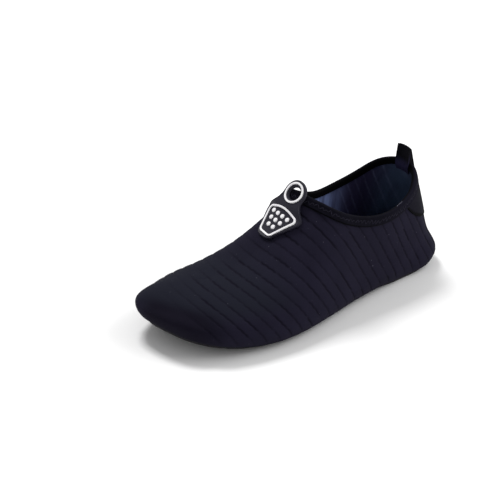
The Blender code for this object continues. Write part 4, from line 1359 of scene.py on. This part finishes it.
class SHOE_OT_outsole(bpy.types.Operator):
    """Builds the rubber sole with rounded edges, bowed grooves and fine cuts"""
    bl_idname = "shoe.outsole"
    bl_label = "Outsole"

    def execute(self, context):
        settings = context.scene.shoe_rubber
        turns = np.linspace(0, TOE, OUTLINE_STEPS)
        outer_side, outer_along = outline(turns, TUCK + SOLE_INSET)
        inner_side, inner_along = outline(ROUND - turns, TUCK + SOLE_INSET)
        stations, heel, toe = sole_stations(settings.sipe)
        sections = []
        for along, depth in stations:
            right = np.interp(along, outer_along, outer_side)
            left = np.interp(along, inner_along, inner_side)
            bow = GROOVE_BOW * soft_step(BOW_FROM, BOW_FULL, min(along - heel, toe - along))
            sections.append(sole_section(along, depth, left, right, bow))
        sections = np.array(sections)
        bm = bmesh.new()
        net(bm, np.concatenate([sections, sections[:, :1]], axis=1))
        weld(bm)
        bmesh.ops.holes_fill(bm, edges=open_edges(bm), sides=0)
        rubber = moulded_rubber("moulded_sole_rubber", settings.sole, 0.62, 1.0 * MM, 0.12 * MM)
        finish(bm, "grooved_sole", [rubber], ["outsole"])
        return {"FINISHED"}


# Rubber pull patch

THROAT_RISES, THROAT_TURNS = np.linspace(0.5, 1, 161), np.linspace(4.6, 8.4, 260)
CREST_TURNS = np.linspace(TOE * 0.45, TOE * 0.65, 200)


def throat_tree():
    """The last about the throat as a very fine net, to set the patch down on."""
    faces, points = [], []
    for turns in (THROAT_TURNS, ROUND - THROAT_TURNS):
        first, count = len(points), len(THROAT_RISES)
        points += [Vector(p) for p in last(turns[:, None], THROAT_RISES[None, :]).reshape(-1, 3)]
        faces += [(first + i * count + j, first + i * count + j + 1,
                   first + (i + 1) * count + j + 1, first + (i + 1) * count + j)
                  for i in range(len(turns) - 1) for j in range(count - 1)]
    return BVHTree.FromPolygons(points, faces)


THROAT = throat_tree()


def plate_frame():
    """Start of the patch on the ridge, its way up the instep and its way out."""
    crest = last(CREST_TURNS, 1.0)
    start = crest[np.argmin(np.abs(along_of(crest) - PLATE_START * LENGTH))]
    start[0] = -SIDE_CENTRE
    up = np.array((0.0, math.cos(PLATE_SLOPE), math.sin(PLATE_SLOPE)))
    out = np.array((0.0, -math.sin(PLATE_SLOPE), math.cos(PLATE_SLOPE)))
    return start, up, out


PLATE_FRAME = plate_frame()


def last_height(climb, side):
    """Height of the last over the patch's flat plane."""
    start, up, out = PLATE_FRAME
    origin = start + up * climb + np.array((side, 0, 0)) + out * RAY_START
    spot = THROAT.ray_cast(Vector(origin), Vector(-out))[0]
    return float(np.dot(np.array(spot) - start, out))


def on_plate(along, across, lift):
    """A place on the bent patch. Its underside follows the last, and its face is flatter."""
    start, up, out = PLATE_FRAME
    ahead = along - RING_AT
    climb = RING_AT + ahead * math.cos(PLATE_TURN) - across * math.sin(PLATE_TURN)
    side = RING_SIDE + ahead * math.sin(PLATE_TURN) + across * math.cos(PLATE_TURN)
    ridge = last_height(climb, 0.0)
    flat = ridge - side ** 2 / (2 * RING_BEND)
    ring_from = RING_AT - RING_OUTSIDE
    follow = 1 - soft_step(ring_from - BEND_BLEND, ring_from + BEND_BLEND, climb)
    follow *= 1 - PLATE_FLAT * min(lift / PLATE, 1.0)
    bent = flat + (last_height(climb, side) - flat) * follow if follow > 0 else flat
    over_binding = soft_step(ring_from - BEND_BLEND, ring_from, climb) * (BINDING + GAP)
    return start + up * climb + np.array((side, 0, 0)) + out * (bent + GAP + over_binding + lift)


def plate_reach(along, side):
    """Reach of the patch to a side: a round narrow end, the shield's side, the neck and the ring."""
    table = PLATE_OUTER if side > 0 else PLATE_INNER
    first = table[0]
    if along < first.along:
        part = (first.along - along) / (first.along - NARROW_END)
        return first.height * max(0.0, 1 - part ** NARROW_TIP) ** (1 / NARROW_SIDE)
    if along > RING_AT:
        return math.sqrt(max(0.0, RING_OUTSIDE ** 2 - (along - RING_AT) ** 2))
    return float(read_stops(table, along)[0])


PLATE_FINE, PLATE_TURNS, PLATE_ROWS = 400, 220, 12
RIM_WIDTH, RIM_PARTS = 0.5 * MM, (0.25, 0.5, 0.75, 1.0)
# Steps out and up of the patch's section: the ring's hole, its cone and lip, and the patch's side
HOLE_STEPS = ((0.0, 0.0), (0.0, 0.4 * MM), (0.12 * MM, 0.7 * MM))
CONE_FOOT, CONE_RISE, CONE_PARTS = 0.7 * MM, PLATE - 0.9 * MM, (0.35, 0.65, 0.9)
LIP_STEPS = ((0.1 * MM, -0.1 * MM), (0.3 * MM, 0.0))
SIDE_STEPS = ((0.0, 0.8 * MM), (0.0, 0.25 * MM), (-0.2 * MM, 0.0))
FILLET_STEPS = 7


def plate_outline():
    """The patch's outline as distances along and across, evenly spread, once round."""
    ends = (1 - np.cos(np.linspace(0, math.pi, PLATE_FINE))) / 2
    along = NARROW_END + (RING_AT + RING_OUTSIDE - NARROW_END) * ends
    outer, inner = ([side * plate_reach(a, side) for a in along] for side in (1, -1))
    loop = np.concatenate([np.stack([along, outer], -1), np.stack([along, inner], -1)[-2::-1]])
    return spread_evenly(loop, PLATE_TURNS)[:-1]


def plate_section(reach, settings):
    """The patch's section from the ring's hole to its edge, as distances from the hole's middle and lifts."""
    fillet = settings.fillet
    lip = RING_HOLE + settings.cone
    face = PLATE + settings.rim
    spots = [(RING_HOLE + step, up) for step, up in HOLE_STEPS]
    spots += [(RING_HOLE + settings.cone * part, CONE_FOOT + CONE_RISE * part) for part in CONE_PARTS]
    spots += [(lip + step, PLATE + up) for step, up in LIP_STEPS]
    flat = np.linspace(spots[-1][0], reach - fillet - RIM_WIDTH, PLATE_ROWS + 1)[1:]
    spots += [(r, PLATE) for r in flat]
    spots += [(reach - fillet - RIM_WIDTH * (1 - part), PLATE + settings.rim * soft_step(0, 1, part))
              for part in RIM_PARTS]
    for angle in np.linspace(0, math.pi / 2, FILLET_STEPS)[1:]:
        spots.append((reach - fillet * (1 - math.sin(angle)), face - fillet * (1 - math.cos(angle))))
    spots += [(reach + step, up) for step, up in SIDE_STEPS]
    spots += [((reach + RING_HOLE) / 2, 0.0)]
    return spots


class SHOE_OT_pull_patch(bpy.types.Operator):
    """Builds the dark rubber patch with its ring"""
    bl_idname = "shoe.pull_patch"
    bl_label = "Pull patch"

    def execute(self, context):
        settings = context.scene.shoe_rubber
        ring = np.array((RING_AT, 0.0))
        sections = []
        for edge in plate_outline():
            reach = np.linalg.norm(edge - ring)
            way = (edge - ring) / reach
            sections.append([on_plate(*(ring + way * r), lift) for r, lift in plate_section(reach, settings)])
        bm = bmesh.new()
        ring_net(bm, np.array(sections))
        weld(bm)
        rubber = moulded_rubber("moulded_patch_rubber", settings.patch, 0.5, 0.8 * MM, 0.1 * MM)
        finish(bm, "pull_patch", [rubber], ["throat_patch"])
        return {"FINISHED"}


CORNER_STEPS = 14
TRIM_STEPS = 150
TRIM_SECTION = ((1.0, -0.7), (0.98, 0.3), (0.93, 0.7), (0.78, 0.93), (0.4, 1.0), (0.0, 1.02),
                (-0.4, 1.0), (-0.78, 0.93), (-0.93, 0.7), (-0.98, 0.3), (-1.0, -0.7))


def rounded(corners):
    """Points of a closed outline with an arc in each corner."""
    points = []
    for i, corner in enumerate(corners):
        here = Vector((corner.along, corner.across))
        ahead = (Vector(corners[(i + 1) % len(corners)][:2]) - here).normalized()
        behind = (Vector(corners[i - 1][:2]) - here).normalized()
        half = behind.angle(ahead) / 2
        centre = here + (ahead + behind).normalized() * (corner.radius / math.sin(half))
        first = here + behind * (corner.radius / math.tan(half)) - centre
        final = here + ahead * (corner.radius / math.tan(half)) - centre
        for step in range(CORNER_STEPS + 1):
            way = first.lerp(final, step / CORNER_STEPS).normalized()
            points.append(centre + way * corner.radius)
    return np.array(points + points[:1])


def lay_trim(name, line, material, node):
    """A raised half-round band along a closed line on the rubber patch."""
    points = spread_evenly(line, TRIM_STEPS)[:-1]
    run = unit(np.roll(points, -1, axis=0) - np.roll(points, 1, axis=0))
    sections = []
    for point, way in zip(points, run):
        side = np.array((way[1], -way[0]))
        sections.append([on_plate(*(point + side * TRIM_WIDTH / 2 * wide), PLATE + GAP + TRIM * high)
                         for wide, high in TRIM_SECTION])
    bm = bmesh.new()
    ring_net(bm, np.array(sections))
    weld(bm)
    finish(bm, name, [material], [node])


PIP_PROFILE = ((0.0, 1.0), (0.3, 0.99), (0.52, 0.95), (0.68, 0.86), (0.8, 0.7), (0.88, 0.45),
               (0.94, 0.15), (1.0, -0.2), (1.04, -0.7), (0.0, -0.7))
PIP_TURNS, RING_TURNS = 24, 120


def lay_pip(number, along, across, material):
    """A low round pip on the rubber patch."""
    turns = np.linspace(0, math.tau, PIP_TURNS + 1)[:, None, None]
    profile = np.array(PIP_PROFILE)[None]
    foot = on_plate(along, across, PLATE + GAP)
    axis = unit(on_plate(along, across, PLATE + GAP + TRIM) - foot)
    side = unit(np.cross(axis, (0.0, 1.0, 0.0)))
    ahead = np.cross(axis, side)
    spokes = np.cos(turns) * side + np.sin(turns) * ahead
    points = foot + spokes * profile[..., :1] * PIP_RADIUS + axis * profile[..., 1:] * TRIM
    bm = bmesh.new()
    net(bm, points)
    weld(bm)
    finish(bm, f"round_pip_{number}", [material], [f"grip_pip_{number}"])


class SHOE_OT_patch_trim(bpy.types.Operator):
    """Builds the white border, ring and grip pips on the patch"""
    bl_idname = "shoe.patch_trim"
    bl_label = "Patch trim"

    def execute(self, context):
        white = moulded_rubber("moulded_white_rubber", context.scene.shoe_rubber.white, 0.42,
                               1.2 * MM, 0.05 * MM, 0.03)
        lay_trim("shield_border", rounded(TRIM_CORNERS), white, "patch_border")
        angles = np.linspace(0, math.tau, RING_TURNS + 1)
        circle = np.stack([RING_AT + TRIM_RING * np.cos(angles), TRIM_RING * np.sin(angles)], -1)
        lay_trim("ring_border", circle, white, "patch_ring")
        number = 0
        for row in PIP_ROWS:
            for k in range(row.count):
                number += 1
                across = row.side + (k - (row.count - 1) / 2) * PIP_PITCH
                lay_pip(number, row.along, across, white)
        return {"FINISHED"}


# Stage

def soft_light(name, size, power, place_at, look_at):
    """A large square light that faces a point."""
    light = bpy.data.lights.new(name, "AREA")
    light.size = size
    light.energy = power
    made = bpy.data.objects.new(name, light)
    bpy.context.scene.collection.objects.link(made)
    made.location = place_at
    made.rotation_euler = (Vector(look_at) - Vector(place_at)).to_track_quat("-Z", "Y").to_euler()


FLOOR_SIZE = 12.0
KEY_AT, SIDE_AT, LIT_POINT = (-0.8, 0.1, 1.42), (0.7, 1.0, 1.0), (0.0, 0.0, 0.03)
KEY_SIZE, SIDE_SIZE = 0.5, 1.2
SENSOR_WIDTH, FAR_CLIP = 36.0, 50.0


def lay_floor(scene, shade):
    """A wide sheet of matt white paper, even and pale, with hardly visible fibre clouds."""
    bm = bmesh.new()
    bmesh.ops.create_grid(bm, x_segments=1, y_segments=1, size=FLOOR_SIZE / 2)
    mesh = bpy.data.meshes.new("floor")
    bm.to_mesh(mesh)
    bm.free()
    paper, tree, where = new_material("matt_white_paper")
    base = mottled(tree, where, 60 * MM, shade, 1.0, 0.99)
    add(tree, "Principled BSDF", {}, {"Base Color": base, "Roughness": 0.95,
                                      "Specular IOR Level": 0.1})
    mesh.materials.append(paper)
    floor = bpy.data.objects.new("floor", mesh)
    scene.collection.objects.link(floor)


def set_light(scene, settings):
    """Sets even light from all round, a key light and a light behind the heel."""
    world = bpy.data.worlds.new("surround")
    world.use_nodes = True
    add(world.node_tree, "Background", {}, {"Color": (1.0, 1.0, 1.0, 1.0),
                                            "Strength": settings.surround})
    scene.world = world
    soft_light("key_light", KEY_SIZE, settings.key, KEY_AT, LIT_POINT)
    soft_light("side_light", SIDE_SIZE, settings.side, SIDE_AT, LIT_POINT)


def set_camera(scene, settings):
    """Sets the camera to the view that the settings give."""
    back = Vector((math.sin(settings.azimuth) * math.cos(settings.elevation),
                   -math.cos(settings.azimuth) * math.cos(settings.elevation),
                   math.sin(settings.elevation)))
    right = (-back).cross(Vector((0, 0, 1))).normalized()
    up = right.cross(-back)
    tilt = Matrix.Rotation(settings.roll, 3, back)
    turn = Matrix((tilt @ right, tilt @ up, back)).transposed().to_4x4()
    turn.translation = Vector(settings.aim) + back * settings.distance
    lens = bpy.data.cameras.new("camera")
    lens.lens = settings.lens
    lens.sensor_width = SENSOR_WIDTH
    lens.clip_end = FAR_CLIP
    camera = bpy.data.objects.new("camera", lens)
    scene.collection.objects.link(camera)
    camera.matrix_world = turn
    scene.camera = camera


class SHOE_OT_stage(bpy.types.Operator):
    """Sets the floor, the light and the camera"""
    bl_idname = "shoe.stage"
    bl_label = "Stage"

    def execute(self, context):
        scene, settings = context.scene, context.scene.shoe_stage
        scene.view_settings.view_transform = "Standard"
        lay_floor(scene, settings.floor)
        set_light(scene, settings)
        set_camera(scene, settings)
        return {"FINISHED"}


class SHOE_PT_pieces(bpy.types.Panel):
    """Lists the shoe's pieces"""
    bl_idname = "SHOE_PT_pieces"
    bl_label = "Water shoe"
    bl_space_type = "VIEW_3D"
    bl_region_type = "UI"
    bl_category = "Shoe"

    def draw(self, context):
        for step in STEPS:
            self.layout.operator(step.bl_idname)


STEPS = (SHOE_OT_upper, SHOE_OT_collar_binding, SHOE_OT_heel_patch, SHOE_OT_pull_tape,
         SHOE_OT_stitches, SHOE_OT_insole, SHOE_OT_outsole, SHOE_OT_pull_patch, SHOE_OT_patch_trim,
         SHOE_OT_stage)
GROUPS = {"shoe_knit": KnitSettings, "shoe_trim": TrimSettings, "shoe_rubber": RubberSettings,
          "shoe_stage": StageSettings}


def register():
    """Registers the settings, the operators and the panel."""
    for name, group in GROUPS.items():
        bpy.utils.register_class(group)
        setattr(bpy.types.Scene, name, PointerProperty(type=group))
    for step in STEPS + (SHOE_PT_pieces,):
        bpy.utils.register_class(step)


def unregister():
    """Takes away what register() added."""
    for step in (SHOE_PT_pieces,) + STEPS[::-1]:
        bpy.utils.unregister_class(step)
    for name, group in GROUPS.items():
        delattr(bpy.types.Scene, name)
        bpy.utils.unregister_class(group)


def main():
    """Builds the shoe and its stage."""
    register()
    for step in STEPS:
        group, name = step.bl_idname.split(".")
        getattr(getattr(bpy.ops, group), name)()


if __name__ == "__main__":
    main()
